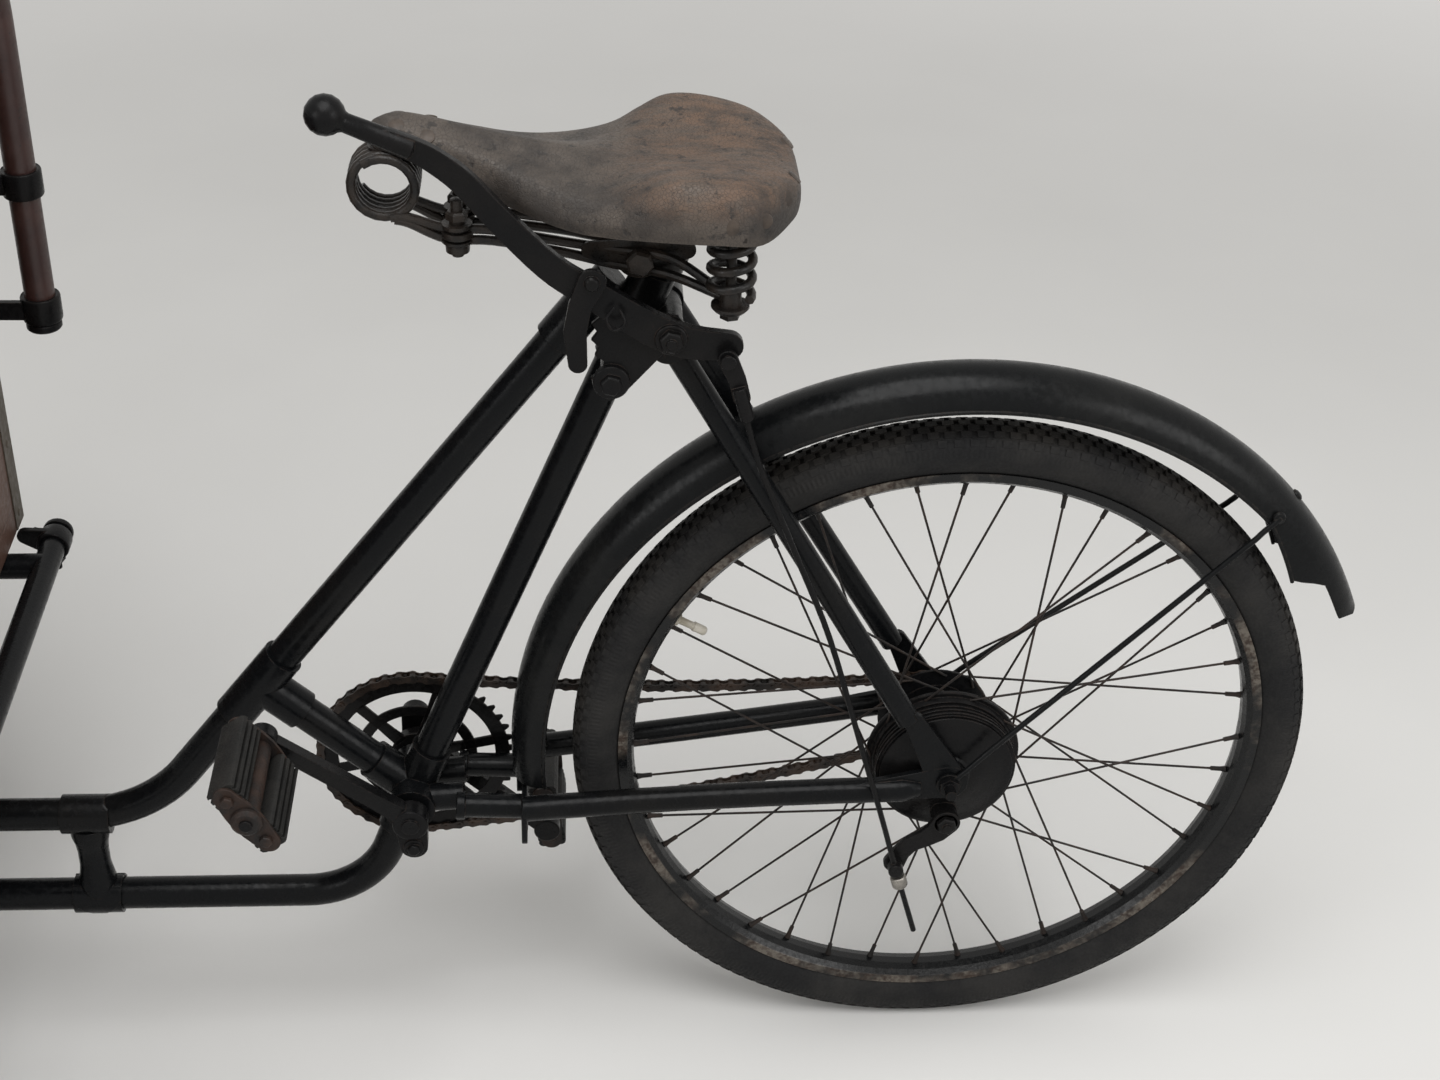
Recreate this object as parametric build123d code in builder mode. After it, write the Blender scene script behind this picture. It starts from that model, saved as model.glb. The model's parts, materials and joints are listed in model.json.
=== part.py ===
from build123d import *
import os
from math import asin, atan2, cos, degrees, pi, radians, sin, sqrt

# A carrier tricycle for deliveries: one chain-driven rear wheel, a long low frame of
# two tubes one above the other, and a wooden box on a two-wheeled front carriage
# that turns as a whole about a pin under the box.
# X points forward, Y to the rider's left and Z up, in millimetres and degrees.
# Places are measured forward from the rear axle, left of the middle and up from the
# ground, and at() turns them into the model's own frame.

# Wheels: three alike, 26 by 1 3/4 inch tyres on lipped steel rims
tyre_radius = 335.0
tyre_width = 44.0
rim_radius = 294.0
rim_width = 33.0
rim_bed_radius = 279.5
seat_gap = 0.3
wheelbase = 1290.0
front_track = 770.0
spoke_radius = 1.1
spoke_crossings = 3
rear_spokes_per_side = 20
front_spokes_per_side = 18
axle_radius = 5.0
axle_play = 0.4

# Rear mudguard, a D section carried round the wheel
guard_radius = 390.0
guard_depth = 18.0
guard_half_width = 31.0
guard_wall = 1.6
guard_front_angle = -4.6
guard_tip_angle = 158.0

# Frame tubes, all on the middle plane
tube_radius = 15.0
upper_tube_z = 257.5
lower_tube_z = 160.5
bracket_x = 480.0
bracket_z = 286.0
bracket_half_width = 35.0
bracket_shell_radius = 21.0
lug_wall = 3.2
spine_foot_x = 722.8
spine_rise = 52.4
spine_bend = 130.0
spine_top_z = 806.0
lower_bend_x = 526.0
lower_bend = 85.0
tie_x = 778.0
seat_tube_angle = 67.8
seat_tube_top_z = 806.0
saddle_post_radius = 12.5
saddle_post_top_z = 858.0

# Rear stays
stay_radius = 10.5
stay_eye_x = 257.0
stay_eye_z = 768.0
stay_eye_y = 38.0
dropout_y = 62.0
dropout_thickness = 6.0

# Drive
chain_pitch = 12.7
ring_teeth = 44
sprocket_teeth = 18
chain_line = 46.4
chain_half_height = 4.6
chain_inner_half = 1.9
chain_plate = 1.3
chain_roller_radius = 3.9
tooth_thickness = 2.4
crank_length = 165.0
crank_angle = 43.7
crank_y = 72.0
crank_thickness = 12.0
crank_axle_radius = 8.0
pedal_length = 96.0
pedal_width = 76.0
pedal_height = 27.0
left_pedal_tilt = 56.0
right_pedal_tilt = 82.0

# Front carriage and box
box_length = 820.0
box_width = 600.0
box_height = 520.0
box_rear_x = wheelbase - box_length / 2
board = 18.0
box_floor_z = 388.5
rail_radius = 12.5
rear_bar_x = box_rear_x - 35.0
rail_y = box_width / 2 - 70.0
handle_radius = 14.0
handle_x = box_rear_x - 51.0
handle_half_width = box_width / 2
handle_foot_z = 606.0
handle_top_z = 1005.0
handle_bend = 110.0
kingpin_radius = 15.0
kingpin_play = 0.4
axle_bar_half = 12.5
spring_half_span = 270.0
spring_leaf = 5.0
spring_width = 38.0
spring_camber = 30.0

# The model's origin lies on the ground under the middle of the overall length
rear_reach = -guard_radius * cos(radians(guard_tip_angle))
front_reach = max(wheelbase + tyre_radius, box_rear_x + box_length + 10.0)
origin_x = (front_reach - rear_reach) / 2.0


def at(x, y, z):
    """A point given forward of the rear axle, left of the middle and up."""
    return Vector(x - origin_x, y, z)


def side_plane(centre):
    """A sketch plane seen from the left, its x forward and its y up."""
    return Plane(origin=centre, x_dir=(1, 0, 0), z_dir=(0, -1, 0))


def bar(points, radius, bends=None):
    """A round bar along straight runs, with tangent arcs at its bends."""
    with BuildPart() as piece:
        with BuildLine() as route:
            if bends is None:
                Line(*points)
            else:
                FilletPolyline(*points, radius=bends)
        with BuildSketch(Plane(origin=points[0], z_dir=points[1] - points[0])):
            Circle(radius)
        sweep(path=route.wire())
    return piece.part


def rod(start, end, outer, inner=0.0):
    """A straight round rod, or a sleeve when it has an inner radius."""
    with BuildPart() as piece:
        with BuildSketch(Plane(origin=start, z_dir=end - start)):
            Circle(outer)
            if inner:
                Circle(inner, mode=Mode.SUBTRACT)
        extrude(amount=(end - start).length)
    return piece.part


def turned(centre, outline):
    """A ring turned about a crosswise axis, from points of (across, radius)."""
    with BuildPart() as piece:
        with BuildSketch(Plane(origin=centre, x_dir=(0, 1, 0), z_dir=(1, 0, 0))):
            with BuildLine():
                Polyline(*outline, close=True)
            make_face()
        revolve(axis=Axis(centre, (0, 1, 0)))
    return piece.part


def block(low, high):
    """A plain block between two opposite corners."""
    with BuildPart() as piece:
        with Locations((low + high) / 2):
            Box(high.X - low.X, high.Y - low.Y, high.Z - low.Z)
    return piece.part


def wire_spokes(hub, side, count, hole_radius, inside_y, outside_y, turn):
    """Crossed spokes of one flange, alternately from its inner and outer face."""
    spokes = []
    for index in range(count):
        leads = index % 2 == 0
        hole = turn + 2 * pi * index / count
        sweep_angle = spoke_crossings * 2 * pi / count
        rim_hole = hole + sweep_angle if leads else hole - sweep_angle
        face_y = outside_y if leads else inside_y
        start = hub + Vector(hole_radius * cos(hole), side * face_y, hole_radius * sin(hole))
        end_radius = rim_bed_radius - seat_gap
        end = hub + Vector(end_radius * cos(rim_hole), side * 3.0, end_radius * sin(rim_hole))
        with BuildPart() as spoke:
            with BuildSketch(Plane(origin=start, z_dir=end - start)):
                RegularPolygon(spoke_radius, 6)
            extrude(amount=(end - start).length)
        spokes.append(spoke.part)
    return spokes


def toothed_disc(teeth, thickness, centre):
    """A disc with pointed teeth for the chain, before its windows are cut."""
    pitch_radius = chain_pitch / (2 * sin(pi / teeth))
    root = pitch_radius - chain_roller_radius
    tip = pitch_radius + 2.9
    corners = []
    for tooth in range(teeth):
        for share, radius in ((-0.30, root), (-0.10, tip), (0.10, tip), (0.30, root)):
            angle = 2 * pi * (tooth + share) / teeth
            corners.append((radius * cos(angle), radius * sin(angle)))
    with BuildPart() as disc:
        with BuildSketch(side_plane(centre)):
            with BuildLine():
                Polyline(*corners, close=True)
            make_face()
        extrude(amount=thickness / 2, both=True)
    return disc.part


def finish(name, label):
    """Label a finished piece and write it."""
    name.part.label = label
    export_step(name.part, f"parts/{label}.step")


os.makedirs("parts", exist_ok=True)

# Wheel parts shared by all three wheels
rim_half = rim_width / 2
rim_outline = [
    (-rim_half, rim_radius), (-rim_half + 2, rim_radius), (-rim_half + 3, rim_radius - 7),
    (-5, rim_bed_radius + 4), (5, rim_bed_radius + 4), (rim_half - 3, rim_radius - 7),
    (rim_half - 2, rim_radius), (rim_half, rim_radius), (rim_half - 0.5, rim_radius - 8),
    (11, rim_bed_radius + 2), (4, rim_bed_radius), (-4, rim_bed_radius),
    (-11, rim_bed_radius + 2), (-rim_half + 0.5, rim_radius - 8),
]
tyre_half = tyre_width / 2


def tyre_ring(centre):
    """One tyre, its beads between the rim's lips."""
    bead = rim_half - 2.6
    with BuildPart() as ring:
        with BuildSketch(Plane(origin=centre, x_dir=(0, 1, 0), z_dir=(1, 0, 0))):
            with BuildLine():
                edge = Polyline(
                    (-tyre_half + 4.5, tyre_radius - 4), (-tyre_half + 0.5, tyre_radius - 13),
                    (-tyre_half, tyre_radius - 24), (-tyre_half + 3, rim_radius + 5),
                    (-bead + 0.2, rim_radius + 0.3), (-bead + 1, rim_radius - 6.4),
                    (bead - 1, rim_radius - 6.4), (bead - 0.2, rim_radius + 0.3),
                    (tyre_half - 3, rim_radius + 5), (tyre_half, tyre_radius - 24),
                    (tyre_half - 0.5, tyre_radius - 13), (tyre_half - 4.5, tyre_radius - 4),
                )
                ThreePointArc(edge @ 1, (0, tyre_radius), edge @ 0)
            make_face()
        revolve(axis=Axis(centre, (0, 1, 0)))
    return ring.part


# Rear wheel: tyre, rim, forty crossed wires, drum-brake hub and sprocket
rear_centre = at(0, 0, tyre_radius)
with BuildPart() as rear_tyre:
    add(tyre_ring(rear_centre))
finish(rear_tyre, "rear_tyre")

with BuildPart() as rear_rim:
    add(turned(rear_centre, rim_outline))
finish(rear_rim, "rear_rim")

hub_bore = axle_radius + axle_play
hub_barrel = 20.0
far_flange_y = 32.0
far_flange_radius = 37.0
drum_inner_y = 22.0
drum_outer_y = 47.0
drum_radius = 62.0
drum_wall = 4.5
sprocket_seat_radius = 16.0
with BuildPart() as rear_hub:
    add(turned(rear_centre, [
        (-chain_line - 5, hub_bore), (-chain_line - 5, sprocket_seat_radius),
        (-far_flange_y - 7, sprocket_seat_radius), (-far_flange_y - 7, 20),
        (-far_flange_y - 1.5, 22), (-far_flange_y - 1.5, far_flange_radius),
        (-far_flange_y + 1.5, far_flange_radius), (-far_flange_y + 1.5, 22),
        (-24, hub_barrel), (12, hub_barrel), (drum_inner_y - 2, 32),
        (drum_inner_y, drum_radius - 3), (drum_inner_y + 2, drum_radius),
        (drum_outer_y, drum_radius), (drum_outer_y, drum_radius - drum_wall),
        (drum_inner_y + 5, drum_radius - drum_wall), (drum_inner_y + 4, 14),
        (drum_outer_y - 3, 14), (drum_outer_y - 3, hub_bore),
    ]))
finish(rear_hub, "rear_hub")

with BuildPart() as rear_spokes:
    add(
        wire_spokes(rear_centre, 1, rear_spokes_per_side, drum_radius - 5,
                    drum_inner_y - 7.0, drum_inner_y - 1.6, 0.0)
        + wire_spokes(rear_centre, -1, rear_spokes_per_side, far_flange_radius - 4,
                      far_flange_y - 3.0, far_flange_y + 4.0, pi / rear_spokes_per_side)
    )
finish(rear_spokes, "rear_spokes")

sprocket_centre = at(0, -chain_line, tyre_radius)
with BuildPart() as rear_sprocket:
    add(toothed_disc(sprocket_teeth, tooth_thickness, sprocket_centre))
    add(rod(sprocket_centre + Vector(0, 4.4, 0), sprocket_centre - Vector(0, 3.6, 0), 25.0))
    add(rod(sprocket_centre + Vector(0, 9, 0), sprocket_centre - Vector(0, 9, 0),
            sprocket_seat_radius + 0.2), mode=Mode.SUBTRACT)
finish(rear_sprocket, "rear_sprocket")

# Rear axle with its nuts and the static brake plate with its arm
axle_end = 84.0
with BuildPart() as rear_axle:
    add(rod(at(0, -axle_end, tyre_radius), at(0, axle_end, tyre_radius), axle_radius))
    for side in (-1, 1):
        nut_plane = Plane(origin=at(0, side * (dropout_y + dropout_thickness / 2), tyre_radius),
                          z_dir=(0, side, 0))
        with BuildSketch(nut_plane):
            RegularPolygon(9.5, 6)
        extrude(amount=8)
        cone = at(0, side * (dropout_y - dropout_thickness / 2), tyre_radius)
        add(rod(cone, cone - Vector(0, side * 5.0, 0), 9.0))
finish(rear_axle, "rear_axle")

brake_arm_end = at(41, 56, 256)
plate_y = drum_outer_y + 0.6
with BuildPart() as brake_plate:
    add(rod(at(0, plate_y, tyre_radius), at(0, plate_y + 4, tyre_radius), 60.0))
    with BuildSketch(side_plane(at(0, plate_y + 6, tyre_radius))):
        arm_x = brake_arm_end.X - at(0, 0, 0).X
        arm_z = brake_arm_end.Z - tyre_radius
        with Locations((arm_x * 0.45, arm_z * 0.45)):
            Circle(9)
        with Locations((arm_x, arm_z)):
            Circle(6)
        make_hull()
    extrude(amount=2, both=True)
    add(rod(at(0, plate_y - 5, tyre_radius), at(0, plate_y + 20, tyre_radius),
            axle_radius + 4.0), mode=Mode.SUBTRACT)
finish(brake_plate, "brake_plate")

# Long upper tube: level under the box, then up to the seat in one bend
rise = radians(spine_rise)
spine_foot = at(spine_foot_x, 0, upper_tube_z)
spine_dir = Vector(-cos(rise), 0, sin(rise))
spine_top = spine_foot + spine_dir * ((spine_top_z - upper_tube_z) / sin(rise))
head_radius = kingpin_radius + kingpin_play + 6.0
upper_front = at(wheelbase - head_radius + 2, 0, upper_tube_z)
upper_solid = bar([upper_front, spine_foot, spine_top], tube_radius, [spine_bend])

lower_front = at(wheelbase - head_radius + 2, 0, lower_tube_z)
bracket = at(bracket_x, 0, bracket_z)
lower_corner = at(lower_bend_x, 0, lower_tube_z)
lower_solid = bar([lower_front, lower_corner, bracket], tube_radius, [lower_bend])

lean = radians(seat_tube_angle)
seat_dir = Vector(-cos(lean), 0, sin(lean))
seat_top = bracket + seat_dir * ((seat_tube_top_z - bracket_z) / sin(lean))
seat_solid = rod(bracket, seat_top, tube_radius)

spine_knot = spine_foot + spine_dir * 187.0
down_solid = rod(bracket, spine_knot, tube_radius)

shell_solid = rod(bracket - Vector(0, bracket_half_width, 0),
                  bracket + Vector(0, bracket_half_width, 0), bracket_shell_radius)
head_solid = rod(at(wheelbase, 0, 138), at(wheelbase, 0, 292), head_radius)

with BuildPart() as upper_tube:
    add(upper_solid)
    add(seat_solid, mode=Mode.SUBTRACT)
    add(head_solid, mode=Mode.SUBTRACT)
finish(upper_tube, "upper_tube")

with BuildPart() as lower_tube:
    add(lower_solid)
    add(shell_solid, mode=Mode.SUBTRACT)
    add(head_solid, mode=Mode.SUBTRACT)
finish(lower_tube, "lower_tube")

with BuildPart() as seat_tube:
    add(seat_solid)
    add(shell_solid, mode=Mode.SUBTRACT)
finish(seat_tube, "seat_tube")

with BuildPart() as down_tube:
    add(down_solid)
    add(shell_solid, mode=Mode.SUBTRACT)
    add(upper_solid, mode=Mode.SUBTRACT)
    add(seat_solid, mode=Mode.SUBTRACT)
    add(lower_solid, mode=Mode.SUBTRACT)
finish(down_tube, "down_tube")

# Bottom bracket: a crosswise shell with short sockets for its tubes
lug_radius = tube_radius + lug_wall
down_dir = (spine_knot - bracket).normalized()
lower_dir = (lower_corner - bracket).normalized()
stay_front_y = 18.5
stay_front = [at(455, side * stay_front_y, 289) for side in (-1, 1)]
with BuildPart() as bottom_bracket:
    add(shell_solid)
    for direction in (seat_dir, down_dir, lower_dir):
        add(rod(bracket, bracket + direction * 48, lug_radius))
    for front in stay_front:
        add(rod(Vector(bracket.X, front.Y, bracket.Z), front - Vector(22, 0, -1), 12.6))
    for tube in (seat_solid, down_solid, lower_solid):
        add(tube - shell_solid, mode=Mode.SUBTRACT)
    add(rod(bracket - Vector(0, 50, 0), bracket + Vector(0, 50, 0),
            crank_axle_radius + 0.6), mode=Mode.SUBTRACT)

# Rear stays: two chain stays from the bracket and two seat stays from the seat lug
with BuildPart() as chain_stays:
    for side in (-1, 1):
        stay = bar([at(447, side * 17.5, 288.5), at(330, side * 37.5, 297.5),
                    at(72, side * 59, 327)], stay_radius, [240.0])
        add(stay)
        with BuildSketch(side_plane(at(0, side * dropout_y, tyre_radius))):
            Circle(18)
            with Locations((74, -8)):
                Circle(9)
            make_hull()
        extrude(amount=dropout_thickness / 2, both=True)
        with BuildSketch(side_plane(at(0, side * dropout_y, tyre_radius))):
            Circle(18)
            with Locations((36, 68)):
                Circle(9)
            make_hull()
        extrude(amount=dropout_thickness / 2, both=True)
        add(rod(at(0, side * (dropout_y - 9), tyre_radius), at(0, side * (dropout_y + 9), tyre_radius),
                axle_radius + 0.3), mode=Mode.SUBTRACT)
finish(chain_stays, "chain_stays")

with BuildPart() as bottom_bracket_trimmed:
    add(bottom_bracket.part)
    add(chain_stays.part, mode=Mode.SUBTRACT)
finish(bottom_bracket_trimmed, "bottom_bracket")

with BuildPart() as seat_stays:
    for side in (-1, 1):
        eye = at(stay_eye_x, side * stay_eye_y, stay_eye_z)
        foot = at(4, side * dropout_y, 340)
        run = foot - eye
        add(rod(eye + run * 0.02, eye + run * 0.855, stay_radius))
        add(rod(eye - Vector(0, side * 11, 0), eye + Vector(0, side * 14.5, 0), 15.0))
    for side in (-1, 1):
        axle_clear = at(0, side * dropout_y, tyre_radius)
        add(rod(axle_clear - Vector(0, 30, 0), axle_clear + Vector(0, 30, 0), 21.0),
            mode=Mode.SUBTRACT)
    add(chain_stays.part, mode=Mode.SUBTRACT)
finish(seat_stays, "seat_stays")

# Lugs: the seat lug, the knot where the down tube starts, the tie between the two
# long tubes, the stay bridge and the steering head
eye_centre = at(stay_eye_x, 0, stay_eye_z)
with BuildPart() as frame_lugs:
    add(rod(seat_top - seat_dir * 78, seat_top + seat_dir * 4, lug_radius))
    add(rod(spine_top - spine_dir * 74, spine_top - spine_dir * 16, lug_radius))
    add(rod(eye_centre - Vector(0, stay_eye_y - 11, 0), eye_centre + Vector(0, stay_eye_y - 11, 0), 13.0))
    add(rod(spine_knot - spine_dir * 42, spine_knot + spine_dir * 36, lug_radius))
    add(rod(spine_knot, spine_knot - down_dir * 46, lug_radius))
    for height in (upper_tube_z, lower_tube_z):
        add(rod(at(tie_x - 22, 0, height), at(tie_x + 22, 0, height), lug_radius))
    add(rod(at(tie_x, 0, lower_tube_z), at(tie_x, 0, upper_tube_z), 13.0))
    for height in (upper_tube_z, lower_tube_z):
        add(rod(at(wheelbase, 0, height), at(wheelbase - 62, 0, height), lug_radius))
    add(head_solid)
    add(rod(at(wheelbase, 0, 120), at(wheelbase, 0, 310), kingpin_radius + kingpin_play),
        mode=Mode.SUBTRACT)
    for tube in (upper_tube, lower_tube, seat_tube, down_tube):
        add(tube.part, mode=Mode.SUBTRACT)
    post_hole = rod(seat_top - seat_dir * 2, seat_top + seat_dir * 60, saddle_post_radius + 0.1)
    add(post_hole, mode=Mode.SUBTRACT)
finish(frame_lugs, "frame_lugs")

bridge_x = 378.0
with BuildPart() as stay_bridge:
    with BuildSketch(Plane(origin=at(bridge_x, 0, 281), z_dir=(1, 0, 0), x_dir=(0, 1, 0))):
        RectangleRounded(74, 42, 6)
    extrude(amount=3, both=True)
    add(block(at(bridge_x + 3, -9, 284), at(bridge_x + 7, 9, 322)))
    add(chain_stays.part, mode=Mode.SUBTRACT)
finish(stay_bridge, "stay_bridge")

# Bottom bracket axle and cranks; the left arm carries the axle
left_angle = radians(crank_angle)


def crank_arm(side):
    """One crank with its pedal pin; the right one points the opposite way."""
    angle = left_angle if side > 0 else left_angle + pi
    reach = Vector(crank_length * cos(angle), 0, crank_length * sin(angle))
    centre = bracket + Vector(0, side * crank_y, 0)
    with BuildPart() as arm:
        with BuildSketch(side_plane(centre)):
            Circle(15)
            with Locations((reach.X, reach.Z)):
                Circle(11)
            make_hull()
        extrude(amount=crank_thickness / 2, both=True)
        add(rod(centre - Vector(0, 10, 0), centre + Vector(0, 10, 0), 18.0))
        eye = centre + reach
        add(rod(eye - Vector(0, 7, 0), eye + Vector(0, 7, 0), 14.0))
        add(rod(eye, eye + Vector(0, side * (pedal_length + 22), 0), 5.5))
    return arm.part


crank_axle = rod(bracket - Vector(0, crank_y + 10, 0), bracket + Vector(0, crank_y + 10, 0),
                 crank_axle_radius)
with BuildPart() as crank_left:
    add(crank_arm(1))
    add(crank_axle)
finish(crank_left, "crank_left")

with BuildPart() as crank_right:
    add(crank_arm(-1))
    add(crank_axle, mode=Mode.SUBTRACT)
finish(crank_right, "crank_right")

# Chainwheel: a toothed ring, five arms and an inner ring on the right crank's boss
ring_centre = bracket - Vector(0, chain_line, 0)
ring_pitch_radius = chain_pitch / (2 * sin(pi / ring_teeth))
rim_inner = ring_pitch_radius - 18
inner_ring_outer = 49.0
inner_ring_inner = 40.0
hub_plate = 24.0
with BuildPart() as chainwheel:
    add(toothed_disc(ring_teeth, tooth_thickness, ring_centre))
    with BuildSketch(side_plane(ring_centre)) as windows:
        Circle(rim_inner)
        Circle(inner_ring_outer, mode=Mode.SUBTRACT)
        Circle(inner_ring_inner)
        Circle(hub_plate, mode=Mode.SUBTRACT)
        with PolarLocations(55, 5, start_angle=18):
            Rectangle(80, 11, mode=Mode.SUBTRACT)
    extrude(amount=6, both=True, mode=Mode.SUBTRACT)
    add(rod(ring_centre + Vector(0, 1.2, 0), bracket - Vector(0, crank_y - 10, 0), hub_plate - 3))
    add(crank_axle, mode=Mode.SUBTRACT)
finish(chainwheel, "chainwheel")


def pedal(side, tilt):
    """A block pedal: two rubbers between end plates, turning on the crank's pin."""
    angle = left_angle if side > 0 else left_angle + pi
    reach = Vector(crank_length * cos(angle), 0, crank_length * sin(angle))
    inner = bracket + Vector(0, side * (crank_y + 12), 0) + reach
    outer = inner + Vector(0, side * pedal_length, 0)
    with BuildPart() as piece:
        for start in (inner, outer - Vector(0, side * 3, 0)):
            with BuildSketch(Plane(origin=start, z_dir=(0, side, 0), x_dir=(1, 0, 0))):
                with Locations(Rotation(0, 0, -side * tilt)):
                    SlotOverall(pedal_width, 20)
            extrude(amount=3)
        block_plane = Plane(origin=inner + Vector(0, side * 3, 0), z_dir=(0, side, 0), x_dir=(1, 0, 0))
        with BuildSketch(block_plane):
            with Locations(Rotation(0, 0, -side * tilt)):
                with GridLocations(pedal_width - 27, 1, 2, 1):
                    RectangleRounded(25, pedal_height, 4)
        extrude(amount=pedal_length - 6)
        with BuildSketch(block_plane):
            Circle(9.5)
        extrude(amount=pedal_length - 6)
        add(rod(inner - Vector(0, side * 5, 0), outer + Vector(0, side * 25, 0), 6.0),
            mode=Mode.SUBTRACT)
    return piece.part


with BuildPart() as pedal_left:
    add(pedal(1, left_pedal_tilt))
finish(pedal_left, "pedal_left")

with BuildPart() as pedal_right:
    add(pedal(-1, right_pedal_tilt))
finish(pedal_right, "pedal_right")

# Chain: two plate loops round ring and sprocket with rollers on the straight runs
sprocket_pitch_radius = chain_pitch / (2 * sin(pi / sprocket_teeth))
chain_dx = bracket_x
chain_dz = bracket_z - tyre_radius


def chain_loop(offset):
    """The outline of the chain's loop, moved outward by offset."""
    with BuildSketch(side_plane(at(0, 0, tyre_radius))) as loop:
        Circle(sprocket_pitch_radius + offset)
        with Locations((chain_dx, chain_dz)):
            Circle(ring_pitch_radius + offset)
        make_hull()
    return loop.sketch


chain_gap = sqrt(chain_dx ** 2 + chain_dz ** 2)
chain_slope = atan2(chain_dz, chain_dx)
chain_flare = asin((ring_pitch_radius - sprocket_pitch_radius) / chain_gap)
straight_run = chain_gap * cos(chain_flare)
with BuildPart() as chain:
    for side in (-1, 1):
        plate_offset = side * (chain_inner_half + chain_plate / 2)
        add(extrude((chain_loop(chain_half_height) - chain_loop(-chain_half_height)).moved(
            Location((0, plate_offset - chain_line, 0))), amount=chain_plate / 2, both=True,
            mode=Mode.PRIVATE))
    roller_count = int(straight_run / chain_pitch) - 6
    for run in (-1, 1):
        normal = chain_slope + run * (pi / 2 + chain_flare)
        along = normal - run * pi / 2
        for link in range(roller_count):
            reach = (link + 4) * chain_pitch
            x = sprocket_pitch_radius * cos(normal) + reach * cos(along)
            z = sprocket_pitch_radius * sin(normal) + reach * sin(along)
            centre = at(x, -chain_line, tyre_radius + z)
            if link % 4 == 0:
                add(rod(centre - Vector(0, chain_inner_half, 0),
                        centre + Vector(0, chain_inner_half, 0), chain_roller_radius - 1.6))
finish(chain, "chain")

# Rear mudguard with its stay wires
with BuildPart() as rear_mudguard:
    start = radians(guard_front_angle)
    guard_start = Plane(origin=rear_centre, x_dir=(0, 1, 0), z_dir=(-sin(start), 0, cos(start)))
    outward = Vector(cos(start), 0, sin(start))
    section = Plane(origin=rear_centre, x_dir=(0, 1, 0), z_dir=(sin(start), 0, -cos(start)))
    edge_radius = guard_radius - guard_depth
    with BuildSketch(section):
        with BuildLine():
            crown = ThreePointArc((-guard_half_width, edge_radius), (0, guard_radius),
                                  (guard_half_width, edge_radius))
            step = Line(crown @ 1, (guard_half_width - guard_wall, edge_radius))
            under = ThreePointArc(step @ 1, (0, guard_radius - guard_wall),
                                  (guard_wall - guard_half_width, edge_radius))
            Line(under @ 1, crown @ 0)
        make_face()
    revolve(axis=Axis(rear_centre, (0, -1, 0)), revolution_arc=guard_tip_angle - guard_front_angle)
finish(rear_mudguard, "rear_mudguard")

# Saddle post, saddle and springs
post_top = seat_top + seat_dir * ((saddle_post_top_z - seat_tube_top_z) / sin(lean))
with BuildPart() as saddle_post:
    add(rod(seat_top, post_top, saddle_post_radius))
finish(saddle_post, "saddle_post")

# Each saddle section: forward place, half width, top height, skirt depth
saddle_sections = [
    (478, 20, 931, 14),
    (440, 22, 931, 18),
    (390, 30, 926, 34),
    (330, 52, 916, 46),
    (280, 84, 910, 44),
    (235, 104, 909, 40),
    (180, 98, 900, 34),
]


def saddle_form(shrink, drop):
    """The saddle's closed form, smaller by shrink all round."""
    with BuildPart() as form:
        for x, half, top, skirt in saddle_sections:
            wide = half - shrink
            high = top - shrink
            low = top - skirt - drop
            with BuildSketch(Plane(origin=at(x, 0, 0), x_dir=(0, 1, 0), z_dir=(1, 0, 0))):
                with BuildLine():
                    left = Line((-wide, low), (-wide, high - skirt * 0.45))
                    arch = ThreePointArc(left @ 1, (0, high), (wide, high - skirt * 0.45))
                    right = Line(arch @ 1, (wide, low))
                    Line(right @ 1, left @ 0)
                make_face()
        loft(ruled=True)
    return form.part


with BuildPart() as saddle_top:
    add(saddle_form(0, 0))
    add(saddle_form(5, 20), mode=Mode.SUBTRACT)
finish(saddle_top, "saddle_top")

with BuildPart() as saddle_springs:
    for side in (-1, 1):
        add(rod(at(478, side * 6, 884), at(478, side * 26, 884), 28.0, 20.0))
        add(rod(at(240, side * 72, 846), at(240, side * 72, 862), 11.0))
    add(rod(at(472, -27, 863), at(472, 27, 863), 4.0))
    add(rod(at(470, 0, 865), at(470, 0, 925.6), 4.0))
    for side in (-1, 1):
        add(bar([at(474, side * 16, 858), at(400, side * 16, 846), at(240, side * 16, 846),
                 at(240, side * 84, 846)], 3.2, [40.0, 20.0]))
    add(block(at(238, -22, 838), at(276, 22, 860)))
    add(saddle_post.part, mode=Mode.SUBTRACT)
finish(saddle_springs, "saddle_springs")

# Parking brake: ball-ended lever on a toothed plate beside the seat lug, and its rod
lever_y = 64.0
with BuildPart() as ratchet_plate:
    with BuildSketch(side_plane(at(0, 55, 0))):
        for x, z, radius in ((316, 806, 12), (257, 768, 14), (300, 716, 17)):
            with Locations((x, z)):
                Circle(radius)
        make_hull()
    extrude(amount=2, both=True)
finish(ratchet_plate, "ratchet_plate")

with BuildPart() as brake_lever:
    add(bar([at(507, lever_y, 962), at(404, lever_y, 905), at(330, lever_y, 815),
             at(257, lever_y, 770)], 6.5, [60.0, 60.0]))
    add(bar([at(257, lever_y, 770), at(201, lever_y, 770)], 6.0))
    with Locations(at(507, lever_y, 962)):
        Sphere(17)
finish(brake_lever, "brake_lever")

with BuildPart() as brake_rod:
    add(bar([at(201, 74, 770), at(39, 74, 250), at(20, 74, 175)], 3.5, [60.0]))
finish(brake_rod, "brake_rod")

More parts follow.
